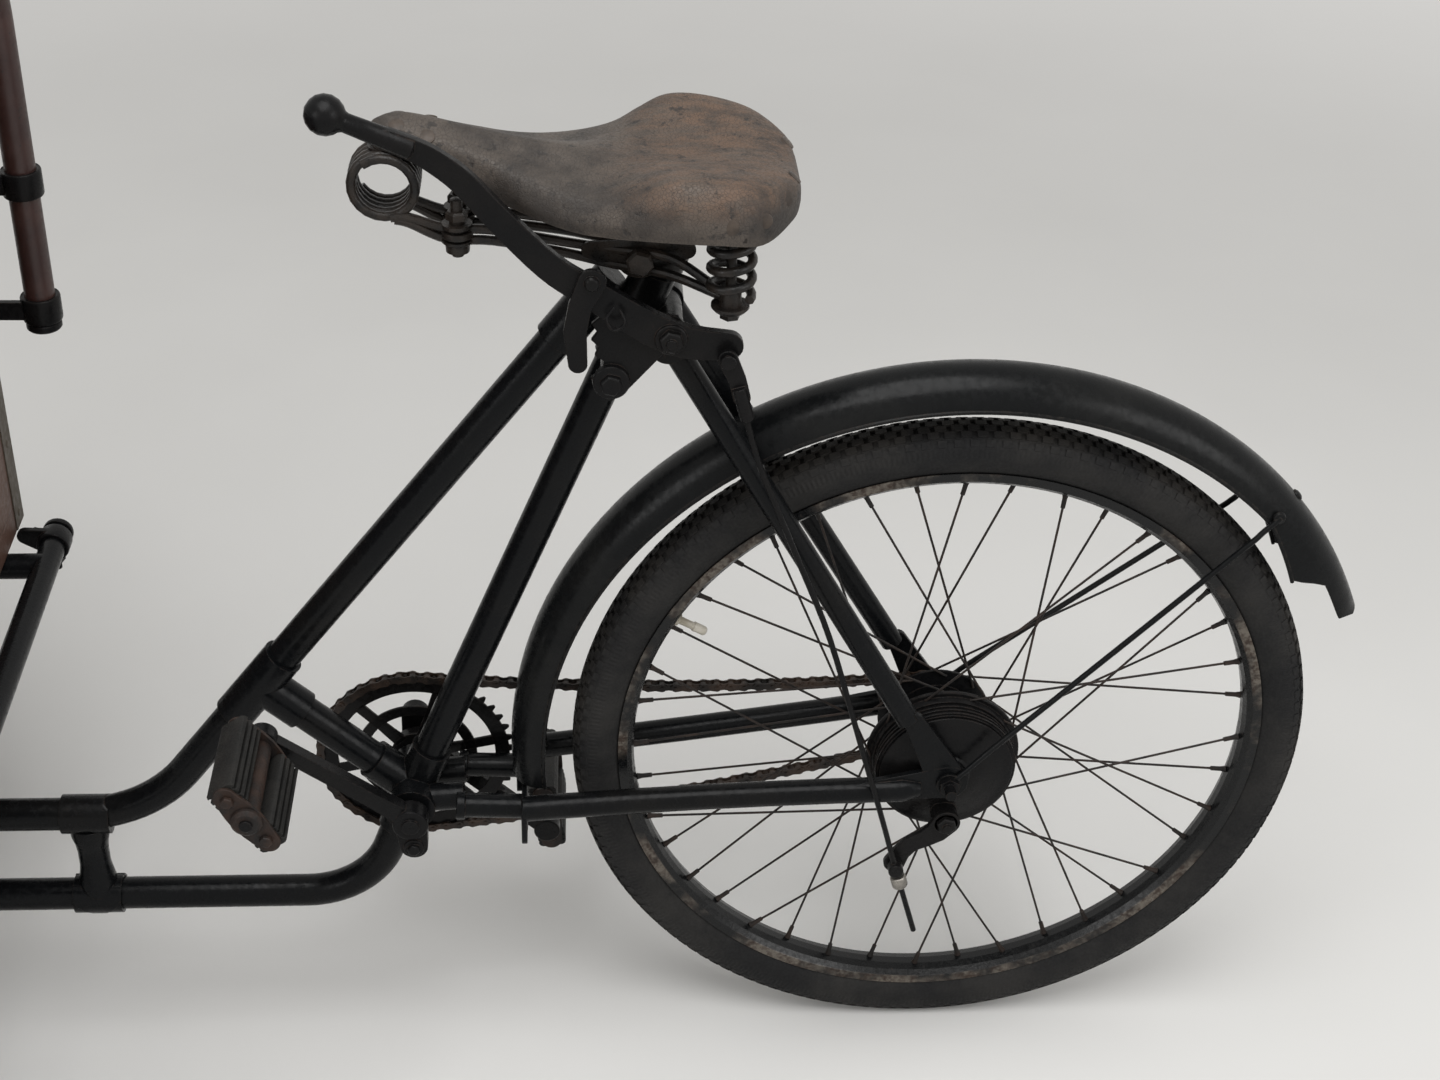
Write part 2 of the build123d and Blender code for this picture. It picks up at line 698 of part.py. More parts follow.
# Front carriage: king pin, axle, springs, under-frame, box, handle
front_centre = at(wheelbase, 0, tyre_radius)
axle_low = tyre_radius - axle_bar_half
with BuildPart() as kingpin:
    add(rod(at(wheelbase, 0, 122), at(wheelbase, 0, 300), kingpin_radius))
    add(rod(at(wheelbase, 0, 122), at(wheelbase, 0, 137.5), 22.0))
    add(rod(at(wheelbase, 0, 292.5), at(wheelbase, 0, 300), 30.0))
    add(block(at(wheelbase - 26, -34, 300), at(wheelbase + 26, 34, axle_low)))
finish(kingpin, "kingpin")

hub_inner_y = front_track / 2 - 40
with BuildPart() as front_axle:
    add(block(at(wheelbase - axle_bar_half, -hub_inner_y, axle_low),
              at(wheelbase + axle_bar_half, hub_inner_y, tyre_radius + axle_bar_half)))
    for side in (-1, 1):
        add(rod(front_centre + Vector(0, side * hub_inner_y, 0),
                front_centre + Vector(0, side * (front_track / 2 + 58), 0), 7.0))
        nut_start = front_centre + Vector(0, side * (front_track / 2 + 38.5), 0)
        with BuildSketch(Plane(origin=nut_start, z_dir=(0, side, 0))):
            RegularPolygon(12, 6)
        extrude(amount=7)
finish(front_axle, "front_axle")

with BuildPart() as front_springs:
    for side in (-1, 1):
        for leaf in range(4):
            half_span = spring_half_span * (1 - 0.2 * leaf)
            arc_radius = (spring_half_span ** 2 + spring_camber ** 2) / (2 * spring_camber)
            top = axle_low - 0.2 - leaf * spring_leaf
            rise_end = arc_radius - sqrt(arc_radius ** 2 - half_span ** 2)
            with BuildSketch(side_plane(at(wheelbase, side * rail_y, 0))):
                with BuildLine():
                    upper = ThreePointArc((-half_span, top + rise_end), (0, top),
                                          (half_span, top + rise_end))
                    over = Line(upper @ 1, (half_span, top + rise_end - spring_leaf))
                    lower = ThreePointArc(over @ 1, (0, top - spring_leaf),
                                          (-half_span, top + rise_end - spring_leaf))
                    Line(lower @ 1, upper @ 0)
                make_face()
            extrude(amount=spring_width / 2, both=True)
finish(front_springs, "front_springs")

rail_z = box_floor_z - rail_radius
front_bar_x = box_rear_x + box_length - 35
with BuildPart() as under_frame:
    bar_end = box_width / 2 - 10
    for bar_x in (rear_bar_x, front_bar_x):
        add(rod(at(bar_x, -bar_end, rail_z), at(bar_x, bar_end, rail_z), rail_radius))
    for side in (-1, 1):
        add(rod(at(rear_bar_x, side * rail_y, rail_z), at(front_bar_x, side * rail_y, rail_z),
                rail_radius))
        for end in (-1, 1):
            eye_x = wheelbase + end * spring_half_span
            add(block(at(eye_x - 10, side * rail_y - 20, axle_low + spring_camber),
                      at(eye_x + 10, side * rail_y + 20, rail_z)))
finish(under_frame, "under_frame")

box_top = box_floor_z + box_height
floor_top = box_floor_z + board
x0, x1 = box_rear_x, box_rear_x + box_length
half = box_width / 2
with BuildPart() as box_floor:
    add(block(at(x0 + board, board - half, box_floor_z), at(x1 - board, half - board, floor_top)))
finish(box_floor, "box_floor")

for label, low_x, high_x in (("box_rear", x0, x0 + board), ("box_front", x1 - board, x1)):
    with BuildPart() as panel:
        add(block(at(low_x, -half, box_floor_z), at(high_x, half, box_top)))
    finish(panel, label)

for label, low_y, high_y in (("box_right", -half, -half + board), ("box_left", half - board, half)):
    with BuildPart() as panel:
        add(block(at(x0 + board, low_y, box_floor_z), at(x1 - board, high_y, box_top)))
    finish(panel, label)

lid_lip = 10.0
with BuildPart() as box_lid:
    add(block(at(x0 - lid_lip, -half - lid_lip, box_top + 0.5),
              at(x1 + lid_lip, half + lid_lip, box_top + 0.5 + board)))
finish(box_lid, "box_lid")

with BuildPart() as push_handle:
    grip = [at(handle_x, -handle_half_width, handle_foot_z), at(handle_x, -handle_half_width, handle_top_z),
            at(handle_x, handle_half_width, handle_top_z), at(handle_x, handle_half_width, handle_foot_z)]
    add(bar(grip, handle_radius, [handle_bend, handle_bend]))
finish(push_handle, "push_handle")

with BuildPart() as handle_clamps:
    for side in (-1, 1):
        for height in (622.0, 748.0):
            post = at(handle_x, side * handle_half_width, height)
            add(rod(post - Vector(0, 0, 12), post + Vector(0, 0, 12), handle_radius + 3.2))
            strap = at(handle_x, side * (handle_half_width - 8), height)
            add(block(strap - Vector(0, 3, 9), Vector(at(x0, 0, 0).X, strap.Y + 3, height + 9)))
        post_line = at(handle_x, side * handle_half_width, handle_foot_z)
        add(rod(post_line - Vector(0, 0, 30), post_line + Vector(0, 0, handle_top_z - handle_foot_z - handle_bend), handle_radius),
            mode=Mode.SUBTRACT)
finish(handle_clamps, "handle_clamps")

# Front wheels: the rear wheel's tyre and rim on plain hubs
for word, side in (("left", 1), ("right", -1)):
    centre = at(wheelbase, side * front_track / 2, tyre_radius)
    with BuildPart() as front_tyre:
        add(tyre_ring(centre))
    finish(front_tyre, f"front_tyre_{word}")
    with BuildPart() as front_rim:
        add(turned(centre, rim_outline))
    finish(front_rim, f"front_rim_{word}")
    with BuildPart() as front_hub:
        add(turned(centre, [
            (-37, 7.4), (-37, 15), (-31, 15), (-31, 31), (-28, 31), (-28, 18),
            (28, 18), (28, 31), (31, 31), (31, 15), (37, 15), (37, 7.4)]))
    finish(front_hub, f"front_hub_{word}")
    with BuildPart() as front_spokes:
        add(
            wire_spokes(centre, 1, front_spokes_per_side, 27.5, 26.0, 33.4, 0.0)
            + wire_spokes(centre, -1, front_spokes_per_side, 27.5, 26.0, 33.4,
                          pi / front_spokes_per_side)
        )
    finish(front_spokes, f"front_spokes_{word}")
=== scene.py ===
import json
from math import asin, atan2, cos, pi, radians, sin, sqrt

import bmesh
import bpy
from mathutils import Matrix, Vector

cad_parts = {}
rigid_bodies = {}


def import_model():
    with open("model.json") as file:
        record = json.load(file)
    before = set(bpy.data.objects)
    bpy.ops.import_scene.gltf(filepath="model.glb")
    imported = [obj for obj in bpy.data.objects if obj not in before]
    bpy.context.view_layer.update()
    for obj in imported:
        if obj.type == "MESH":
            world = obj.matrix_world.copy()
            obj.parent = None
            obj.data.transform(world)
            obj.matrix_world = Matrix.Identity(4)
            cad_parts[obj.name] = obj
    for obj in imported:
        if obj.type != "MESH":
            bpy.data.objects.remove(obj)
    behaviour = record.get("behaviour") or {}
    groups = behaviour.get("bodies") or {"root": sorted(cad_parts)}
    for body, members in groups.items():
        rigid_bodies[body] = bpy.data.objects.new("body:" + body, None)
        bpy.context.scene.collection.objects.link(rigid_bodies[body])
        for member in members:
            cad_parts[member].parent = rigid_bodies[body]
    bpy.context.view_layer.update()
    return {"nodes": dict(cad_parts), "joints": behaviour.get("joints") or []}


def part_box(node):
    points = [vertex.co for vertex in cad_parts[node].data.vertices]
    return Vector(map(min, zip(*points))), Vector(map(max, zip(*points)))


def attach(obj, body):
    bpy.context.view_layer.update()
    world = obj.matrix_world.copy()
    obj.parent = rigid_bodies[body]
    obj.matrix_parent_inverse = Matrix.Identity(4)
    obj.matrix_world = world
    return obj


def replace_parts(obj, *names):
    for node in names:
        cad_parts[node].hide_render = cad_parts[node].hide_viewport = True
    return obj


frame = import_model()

# Frame tubes and lugs: round steel tubes brazed into lugs and stove-enamelled black.
# The coat has dulled, is pitted all over and has let brown steel through on its edges.
nodes = frame["nodes"]
joints = {joint["name"]: joint for joint in frame["joints"]}
rear_hub = Vector(joints["rear_wheel_spin"]["pos_m"])


def at(x, y, z):
    """A place given in millimetres forward of the rear hub, left of the middle and up."""
    return Vector((rear_hub.x + x / 1000, y / 1000, z / 1000))


def bare_material(name):
    """A new material with its node tree, its shader and the place on the piece."""
    material = bpy.data.materials.new(name)
    material.use_nodes = True
    tree = material.node_tree
    where = tree.nodes.new("ShaderNodeTexCoord").outputs["Object"]
    return material, tree, tree.nodes["Principled BSDF"], where


def join(tree, value, socket):
    """Link a socket, or write a plain number or colour."""
    if isinstance(value, bpy.types.NodeSocket):
        tree.links.new(value, socket)
    elif isinstance(value, tuple):
        socket.default_value = (*value, 1.0)
    else:
        socket.default_value = value


def mottle(tree, where, scale, detail, rough, stretch=None):
    """Cloudy noise from 0 to 1, with features of about one over the scale in metres."""
    if stretch:
        mapping = tree.nodes.new("ShaderNodeMapping")
        mapping.inputs["Scale"].default_value = stretch
        tree.links.new(where, mapping.inputs["Vector"])
        where = mapping.outputs["Vector"]
    noise = tree.nodes.new("ShaderNodeTexNoise")
    noise.inputs["Scale"].default_value = scale
    noise.inputs["Detail"].default_value = detail
    noise.inputs["Roughness"].default_value = rough
    tree.links.new(where, noise.inputs["Vector"])
    return noise.outputs["Fac"]


def between(tree, value, low, high, to_low=0.0, to_high=1.0):
    """Spread a value between two limits, smoothly."""
    spread = tree.nodes.new("ShaderNodeMapRange")
    spread.interpolation_type = "SMOOTHSTEP"
    for socket, number in (("Value", value), ("From Min", low), ("From Max", high),
                           ("To Min", to_low), ("To Max", to_high)):
        join(tree, number, spread.inputs[socket])
    return spread.outputs["Result"]


def sums(tree, operation, *values):
    """One step of arithmetic on its values."""
    step = tree.nodes.new("ShaderNodeMath")
    step.operation = operation
    for value, socket in zip(values, step.inputs):
        join(tree, value, socket)
    return step.outputs["Value"]


def tint(tree, share, under, over):
    """Colour going from one to another as the share rises."""
    mix = tree.nodes.new("ShaderNodeMix")
    mix.data_type = "RGBA"
    join(tree, share, mix.inputs["Factor"])
    join(tree, under, mix.inputs["A"])
    join(tree, over, mix.inputs["B"])
    return mix.outputs["Result"]


def relief(tree, surface, height, depth, strength, under=None):
    """Raise the surface by a height, depth metres from 0 to 1."""
    raised = tree.nodes.new("ShaderNodeBump")
    raised.inputs["Strength"].default_value = strength
    raised.inputs["Distance"].default_value = depth
    join(tree, height, raised.inputs["Height"])
    if under:
        tree.links.new(under, raised.inputs["Normal"])
    tree.links.new(raised.outputs["Normal"], surface.inputs["Normal"])


def coated(tree, surface, colour, roughness, sheen):
    """Give the surface its colour, its roughness and an even sheen."""
    join(tree, colour, surface.inputs["Base Color"])
    join(tree, roughness, surface.inputs["Roughness"])
    surface.inputs["Specular IOR Level"].default_value = sheen


def worn_edges(tree, radius):
    """Where an edge is sharp enough to be rubbed, from 0 to 1, and the softened normal."""
    soft = tree.nodes.new("ShaderNodeBevel")
    soft.samples = 4
    soft.inputs["Radius"].default_value = radius
    plain = tree.nodes.new("ShaderNodeNewGeometry")
    turn = tree.nodes.new("ShaderNodeVectorMath")
    turn.operation = "DOT_PRODUCT"
    tree.links.new(soft.outputs["Normal"], turn.inputs[0])
    tree.links.new(plain.outputs["Normal"], turn.inputs[1])
    edge = sums(tree, "SUBTRACT", 1.0, turn.outputs["Value"])
    return between(tree, edge, 0.02, 0.16), soft.outputs["Normal"]


def enamelled_steel(name, coat, dust, bare, gloss, worn, pits=0.00035):
    """Black stove enamel with dust, rubbed edges and pits; worn is the share gone brown."""
    material, tree, surface, where = bare_material(name)
    patches = mottle(tree, where, 9.0, 6.0, 0.62)
    specks = mottle(tree, where, 160.0, 5.0, 0.6)
    grit = mottle(tree, where, 900.0, 2.0, 0.5)
    dusty = tint(tree, between(tree, patches, 0.42, 0.72, 0.0, 0.7), coat, dust)
    chips = between(tree, sums(tree, "ADD", sums(tree, "MULTIPLY", patches, 0.55),
                               sums(tree, "MULTIPLY", specks, 0.45)), 0.66 - worn, 0.76 - worn)
    edge, soft = worn_edges(tree, 0.0012)
    rubbed = sums(tree, "MULTIPLY", edge, between(tree, specks, 0.4, 0.6))
    gone = sums(tree, "MAXIMUM", chips, rubbed)
    polish = between(tree, specks, 0.3, 0.7, gloss - 0.1, gloss + 0.14)
    coated(tree, surface, tint(tree, gone, dusty, bare),
           sums(tree, "MULTIPLY_ADD", gone, 0.25, polish), 0.11)
    relief(tree, surface, sums(tree, "ADD", specks, sums(tree, "MULTIPLY", grit, 0.3)), pits,
           0.55, soft)
    return material


def dress(material, *names):
    """Give CAD pieces their finish."""
    for name in names:
        for holder in nodes[name].material_slots:
            holder.material = material


frame_enamel = enamelled_steel("frame_enamel", (0.0040, 0.0044, 0.0050), (0.0085, 0.008, 0.0075),
                               (0.028, 0.019, 0.015), 0.22, 0.01)
dress(frame_enamel, "upper_tube", "lower_tube", "seat_tube", "down_tube", "bottom_bracket",
      "frame_lugs", "chain_stays", "seat_stays", "stay_bridge", "kingpin", "front_axle",
      "under_frame")


# Tie between the long tubes: a cast strut that widens to a sleeve at each end.
# Its lower sleeve comes down each side of the tube as a pointed tongue.
class Workpiece:
    """The points and faces of one piece, added up from turned, drawn and cut shapes.

    Radii, thicknesses and outlines are in millimetres; points and centres are places.
    """

    def __init__(self):
        self.points = []
        self.faces = []

    def skin(self, rings, round_about=True, joined_up=False):
        """Cover a row of rings that have as many points each."""
        start, count, rows = len(self.points), len(rings[0]), len(rings)
        for ring in rings:
            self.points.extend(ring)
        for row in range(rows if joined_up else rows - 1):
            for place in range(count if round_about else count - 1):
                beside = (place + 1) % count
                below = (row + 1) % rows
                self.faces.append((start + row * count + place, start + row * count + beside,
                                   start + below * count + beside, start + below * count + place))
        if not joined_up:
            self.faces.append(tuple(range(start, start + count)))
            self.faces.append(tuple(range(start + (rows - 1) * count, start + rows * count)))

    def wire(self, route, radius, sides=8):
        """A round bar through the points of a route, of one radius or one for each."""
        radii = radius if isinstance(radius, list) else [radius] * len(route)
        rings, across = [], None
        for index, point in enumerate(route):
            ahead = route[min(index + 1, len(route) - 1)]
            along = (ahead - route[max(index - 1, 0)]).normalized()
            across = along.orthogonal() if across is None else across - along * across.dot(along)
            across.normalize()
            beside = along.cross(across)
            rings.append([point + (across * cos(2 * pi * k / sides)
                                   + beside * sin(2 * pi * k / sides)) * (radii[index] / 1000)
                          for k in range(sides)])
        self.skin(rings)

    def turned(self, centre, axis, outline, steps=48, ring=False):
        """A shape turned about an axis from an outline of (along, radius) points."""
        axis = Vector(axis).normalized()
        across = axis.orthogonal().normalized()
        beside = axis.cross(across)
        rings = []
        for step in range(steps):
            angle = 2 * pi * (step + 0.5) / steps
            out = across * cos(angle) + beside * sin(angle)
            rings.append([centre + axis * (along / 1000) + out * (radius / 1000)
                          for along, radius in outline])
        self.skin(rings, round_about=ring, joined_up=True)

    def nut(self, centre, axis, radius, height):
        """A hexagon nut or bolt head with its corners taken off."""
        self.turned(centre, axis,
                    [(0, 0), (0, radius), (height * 0.75, radius), (height, radius * 0.82),
                     (height, 0)], 6)

    def plate(self, outline, near, far):
        """A flat piece cut to an outline of (x, z), between two places across, in metres."""
        self.skin([[Vector((x, y, z)) for x, z in outline] for y in (near, far)])

    def flat(self, y, spots, thickness):
        """A flat plate across y, its outline stretched round the spots (x, z, radius)."""
        rim = sorted((x + radius * cos(pi * step / 12), z + radius * sin(pi * step / 12))
                     for x, z, radius in spots for step in range(24))
        outline = []
        for row in (rim, rim[::-1]):
            edge = []
            for x, z in row:
                while len(edge) > 1:
                    (x_one, z_one), (x_two, z_two) = edge[-2:]
                    if (x_two - x_one) * (z - z_one) > (z_two - z_one) * (x - x_one):
                        break
                    edge.pop()
                edge.append((x, z))
            outline += edge[:-1]
        self.skin([[at(x, y + side * thickness / 2, z) for x, z in outline] for side in (-1, 1)])

    def bar(self, y, spots, thickness):
        """A flat bar across y with round ends, as wide as its spots (x, z, radius)."""
        left, right, last = [], [], len(spots) - 1
        for index, (x, z, radius) in enumerate(spots):
            back, ahead = spots[max(index - 1, 0)], spots[min(index + 1, last)]
            heading = atan2(ahead[1] - back[1], ahead[0] - back[0])
            swing = {0: range(180, 89, -15), last: range(90, -1, -15)}.get(index, (90,))
            for edge, turn in ((left, 1), (right, -1)):
                for degrees in swing:
                    angle = heading + turn * radians(degrees)
                    edge.append((x + radius * cos(angle), z + radius * sin(angle)))
        outline = left + right[-2:0:-1]
        self.skin([[at(x, y + side * thickness / 2, z) for x, z in outline] for side in (-1, 1)])

    def make(self, name, body, material, slot, crease=34, soften=0.0):
        """Clean the mesh, shade it and let it ride on its body."""
        mesh = bpy.data.meshes.new(name)
        mesh.from_pydata([tuple(point) for point in self.points], [], self.faces)
        clean = bmesh.new()
        clean.from_mesh(mesh)
        bmesh.ops.remove_doubles(clean, verts=clean.verts, dist=2e-6)
        bmesh.ops.dissolve_degenerate(clean, edges=clean.edges, dist=1e-6)
        bmesh.ops.recalc_face_normals(clean, faces=clean.faces)
        clean.to_mesh(mesh)
        clean.free()
        mesh.polygons.foreach_set("use_smooth", [True] * len(mesh.polygons))
        mesh.set_sharp_from_angle(angle=radians(crease))
        mesh.materials.append(material)
        piece = bpy.data.objects.new(name, mesh)
        bpy.context.scene.collection.objects.link(piece)
        if soften:
            rounding = piece.modifiers.new("soften", "BEVEL")
            rounding.width = soften / 1000
            rounding.segments = 2
            rounding.limit_method = "ANGLE"
            rounding.angle_limit = radians(40)
        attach(piece, body)
        return piece


chassis = joints["rear_wheel_spin"]["parent"]
tie = Workpiece()
tie_x = 778
tie_line = [(0, 0), (0, 17.2), (12, 17.2), (24, 15), (32, 14.1), (48, 14.1), (58, 15.2),
            (68, 17.6), (79, 17.6), (79, 0)]
tie.turned(at(tie_x, 0, 168), (0, 0, 1), tie_line, 40)
low_tube_z, low_tube_radius, tongue_thickness = 160.5, 18.9, 3
for side in (-1, 1):
    tongue = []
    for z, reach in ((177, 22.5), (167, 22.5), (160, 19), (153, 13), (147, 7), (142.6, 1)):
        across = sqrt(max(low_tube_radius ** 2 - (z - low_tube_z) ** 2, 4))
        tongue.append([at(tie_x + share * reach, side * depth, z)
                       for depth, run in ((across, (-1, -0.5, 0, 0.5, 1)),
                                          (across - tongue_thickness, (1, 0.5, 0, -0.5, -1)))
                       for share in run])
    tie.skin(tongue)
tie.make("frame_tie_casting", chassis, frame_enamel, "frame_enamel", soften=0.8)


# Chain stays: two steel tubes, bowed past the tyre, with plate ends brazed in for the axle.
# In front they are brazed to a cross plate, held by two short sockets on the bracket.
stay_line = [(24, 65.0, 329.4), (40, 63.6, 327.9), (100, 58.5, 322.2), (160, 54.2, 316.4),
             (220, 50.5, 310.4), (280, 47.5, 304.3), (340, 45.3, 298.0), (379, 44.2, 293.8)]
stays = Workpiece()
for side in (-1, 1):
    stays.wire([at(x, side * y, z) for x, y, z in stay_line],
               [6.2] + [11.5] * (len(stay_line) - 1), 20)
    for far_x, far_z, thick in ((74, 327, 6.0), (36, 403, 5.4)):
        stays.flat(side * 62, [(0, 335, 18), (far_x, far_z, 9)], thick)
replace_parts(stays.make("chain_stay_tubes", chassis, frame_enamel, "frame_enamel", soften=0.6),
            "chain_stays")
bridge = Workpiece()
rounded = []
for y, z, first in ((47.5, 291, 0), (-47.5, 291, 90), (-47.5, 266, 180), (47.5, 266, 270)):
    for step in range(7):
        angle = radians(first + 15 * step)
        rounded.append((y + 8 * cos(angle), z + 8 * sin(angle)))
bridge.skin([[at(x, y, z) for y, z in rounded] for x in (376, 381)])
tab = [(-9, 285), (9, 285), (9, 321), (6, 324), (-6, 324), (-9, 321)]
bridge.skin([[at(x, y, z) for y, z in tab] for x in (381, 386)])
for side in (-1, 1):
    bridge.wire([at(378, side * 29, 284.5), at(440, side * 29, 287)], 11.2, 20)
    bridge.wire([at(432, side * 29, 286.6), at(440, side * 29, 287)], 13.2, 20)
    bridge.nut(at(386, side * 4.5, 306), (1, 0, 0), 4.5, 3.5)
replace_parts(bridge.make("stay_bridge_plate", chassis, frame_enamel, "frame_enamel", soften=0.8),
            "stay_bridge")


# Mudguard: rolled from thin sheet with its edges turned in and cut to a tongue at its end,
# under a flat black coat scuffed grey along the crown. On each side a wire stay runs from
# the axle to a riveted clip, and one bolt holds the crown.
guard_enamel = enamelled_steel("guard_enamel", (0.0050, 0.0054, 0.0058), (0.013, 0.013, 0.0125),
                               (0.030, 0.024, 0.020), 0.24, -0.03, 0.0002)
dress(guard_enamel, "rear_mudguard")
guard_radius, guard_depth, guard_half, guard_sheet = 0.390, 0.029, 0.031, 0.0014
guard_start, guard_length, edge_length = -4.6, 161.8, 151
skirt_from, skirt_depth, cut_at, tip_from = 136, 0.0150, 146.5, 155.7


def in_wheel(centre, radius, angle, across):
    """A place so far from a wheel's axis, at an angle round it, and so far left, in metres."""
    return centre + Vector((radius * cos(angle), across, radius * sin(angle)))


def skirt_share(degrees):
    """How far the mudguard's side has deepened at an angle round it, from 0 to 1."""
    return max((degrees - skirt_from) / (cut_at - skirt_from), 0.0)


guard = Workpiece()
crown = (guard_half ** 2 + guard_depth ** 2) / (2 * guard_depth)
rings = []
for step in range(131):
    degrees = guard_start + guard_length * step / 130
    narrow = min(max((degrees - cut_at) / 3.2, 0.0), 1.0)
    tip = max((degrees - tip_from) / 1.5, 0.0)
    half = (guard_half - 0.0020 * narrow) * sqrt(1 - 0.6 * tip * tip)
    skirt = 0.0003 + skirt_depth * min(skirt_share(degrees), 1.0) * (1 - narrow)
    ring = []
    for face in (-1, 1):
        bow = crown if face < 0 else crown - guard_sheet
        for place in range(19):
            lean = face * asin(min(half / crown, 1.0)) * min(max(1 - (place - 1) / 8, -1), 1)
            radius = guard_radius - crown + bow * cos(lean) - (skirt if place in (0, 18) else 0)
            ring.append(in_wheel(rear_hub, radius, radians(degrees), bow * sin(lean)))
    rings.append(ring)
guard.skin(rings)
for side in (-1, 1):
    edge = []
    for step in range(117):
        degrees = guard_start + edge_length * step / 116
        reach = 0.3610 - skirt_depth * skirt_share(degrees)
        edge.append(in_wheel(rear_hub, reach, radians(degrees), side * 0.0306))
    guard.wire(edge, 1.7, 8)
    guard.wire([at(-5, side * 66.6, 340), at(-16, side * 66.6, 352), at(-30, side * 65, 367),
                at(-240, side * 34.5, 566), at(-247, side * 34.0, 573),
                at(-253, side * 33.6, 580.5), at(-266, side * 32.8, 594)], 2.6, 10)
    guard.turned(at(0, side * 65.4, 335), (0, side, 0),
                 [(0, 5.5), (0, 11.2), (2.5, 11.2), (2.5, 5.5)], 28, ring=True)
    guard.turned(at(-265, side * 31.0, 593), (0, side, 0),
                 [(0, 0), (0, 6), (2.2, 5), (3.4, 2), (3.6, 0)], 16)
bolt_angle = radians(137.8)
outward = Vector((cos(bolt_angle), 0, sin(bolt_angle)))
guard.turned(rear_hub + outward * 0.3895, outward,
             [(0, 0), (0, 5.5), (1.5, 5.2), (2.8, 3), (3.2, 0)], 18)
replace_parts(guard.make("rear_mudguard_sheet", chassis, guard_enamel, "mudguard_enamel", 40),
            "rear_mudguard")


# Black steel fittings: axle, brake parts, lever, saddle post and clamps, oiled over paint.
# Dirt sits in their corners and their rubbed edges are brown rather than bright.
oiled_steel = enamelled_steel("oiled_steel", (0.0050, 0.0050, 0.0054), (0.010, 0.009, 0.0085),
                              (0.034, 0.024, 0.019), 0.27, 0.02)
dress(oiled_steel, "rear_axle", "brake_plate", "saddle_post", "ratchet_plate", "brake_lever",
      "brake_rod", "front_springs", "handle_clamps", "crank_left", "crank_right", "rear_hub",
      "front_hub_left", "front_hub_right")


# Wheel rims: rolled steel with a lip each side, gloss black, their lips rubbed to metal.
# The wear follows the radius, so it is worked out from each wheel's own centre.
wheels = [(word, joints[spin]["child"], Vector(joints[spin]["pos_m"]))
          for word, spin in (("rear", "rear_wheel_spin"), ("front_left", "front_left_spin"),
                             ("front_right", "front_right_spin"))]


def wheel_piece(word, piece):
    """The name of a wheel's piece among the solids."""
    return f"rear_{piece}" if word == "rear" else f"front_{piece}_{word.split('_')[1]}"


def from_hub(tree, where, centre):
    """Distance from a wheel's axis, and the turn round it, for every place on a wheel."""
    apart = tree.nodes.new("ShaderNodeSeparateXYZ")
    tree.links.new(where, apart.inputs["Vector"])
    forward = sums(tree, "SUBTRACT", apart.outputs["X"], centre.x)
    up = sums(tree, "SUBTRACT", apart.outputs["Z"], centre.z)
    across = sums(tree, "SUBTRACT", apart.outputs["Y"], centre.y)
    square = sums(tree, "ADD", sums(tree, "MULTIPLY", forward, forward),
                  sums(tree, "MULTIPLY", up, up))
    return (sums(tree, "SQRT", square), sums(tree, "ARCTAN2", up, forward),
            sums(tree, "ABSOLUTE", across))


def rim_steel(name, centre):
    """Gloss black rim with a rubbed, rust-edged lip."""
    material, tree, surface, where = bare_material(name)
    across = from_hub(tree, where, centre)[2]
    specks = mottle(tree, where, 210.0, 5.0, 0.65)
    patches = mottle(tree, where, 14.0, 5.0, 0.6)
    lip = between(tree, across, 0.0148, 0.0162)
    rubbed = sums(tree, "MULTIPLY", lip, between(tree, patches, 0.46, 0.62))
    chips = between(tree, specks, 0.66, 0.74)
    bare = tint(tree, between(tree, specks, 0.4, 0.62), (0.115, 0.100, 0.083),
                (0.032, 0.020, 0.014))
    coated(tree, surface,
           tint(tree, sums(tree, "MAXIMUM", rubbed, chips), (0.0045, 0.0048, 0.0052), bare),
           between(tree, specks, 0.35, 0.7, 0.16, 0.4), 0.25)
    relief(tree, surface, specks, 0.0004, 0.5)
    return material


for word, body, centre in wheels:
    dress(rim_steel(f"{word}_rim_steel", centre), wheel_piece(word, "rim"))


# Tyres: moulded black rubber on a woven casing, with three rows of tread blocks and a
# row of small squares on each shoulder; the walls are grey with dust and finely ribbed.
tread_pitch, block_foot, wall_ribs = 0.014, 0.0032, 460.0
tyre_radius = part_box("rear_tyre")[1].z - rear_hub.z
# Half of the casing's section: distance from the middle and height against the tread.
casing = [(0, -2.2), (6.2, -2.6), (11.2, -4.0), (16.0, -6.6), (19.3, -10.2), (21.2, -15.0),
          (21.9, -21.5), (21.3, -28.0), (19.2, -35.0), (15.2, -40.0), (14.1, -41.0),
          (12.9, -47.0)]
# A row of blocks: inner side and drop, outer side and drop, stagger, share of the pitch.
tread_rows = [
    (-0.0032, 0.0000, 0.0032, 0.0000, 0.0, 0.68),
    (0.0042, -0.0002, 0.0102, -0.0016, 0.5, 0.70),
    (0.0113, -0.0019, 0.0163, -0.0047, 0.0, 0.66),
    (0.0181, -0.0066, 0.0207, -0.0118, 0.5, 0.55),
]


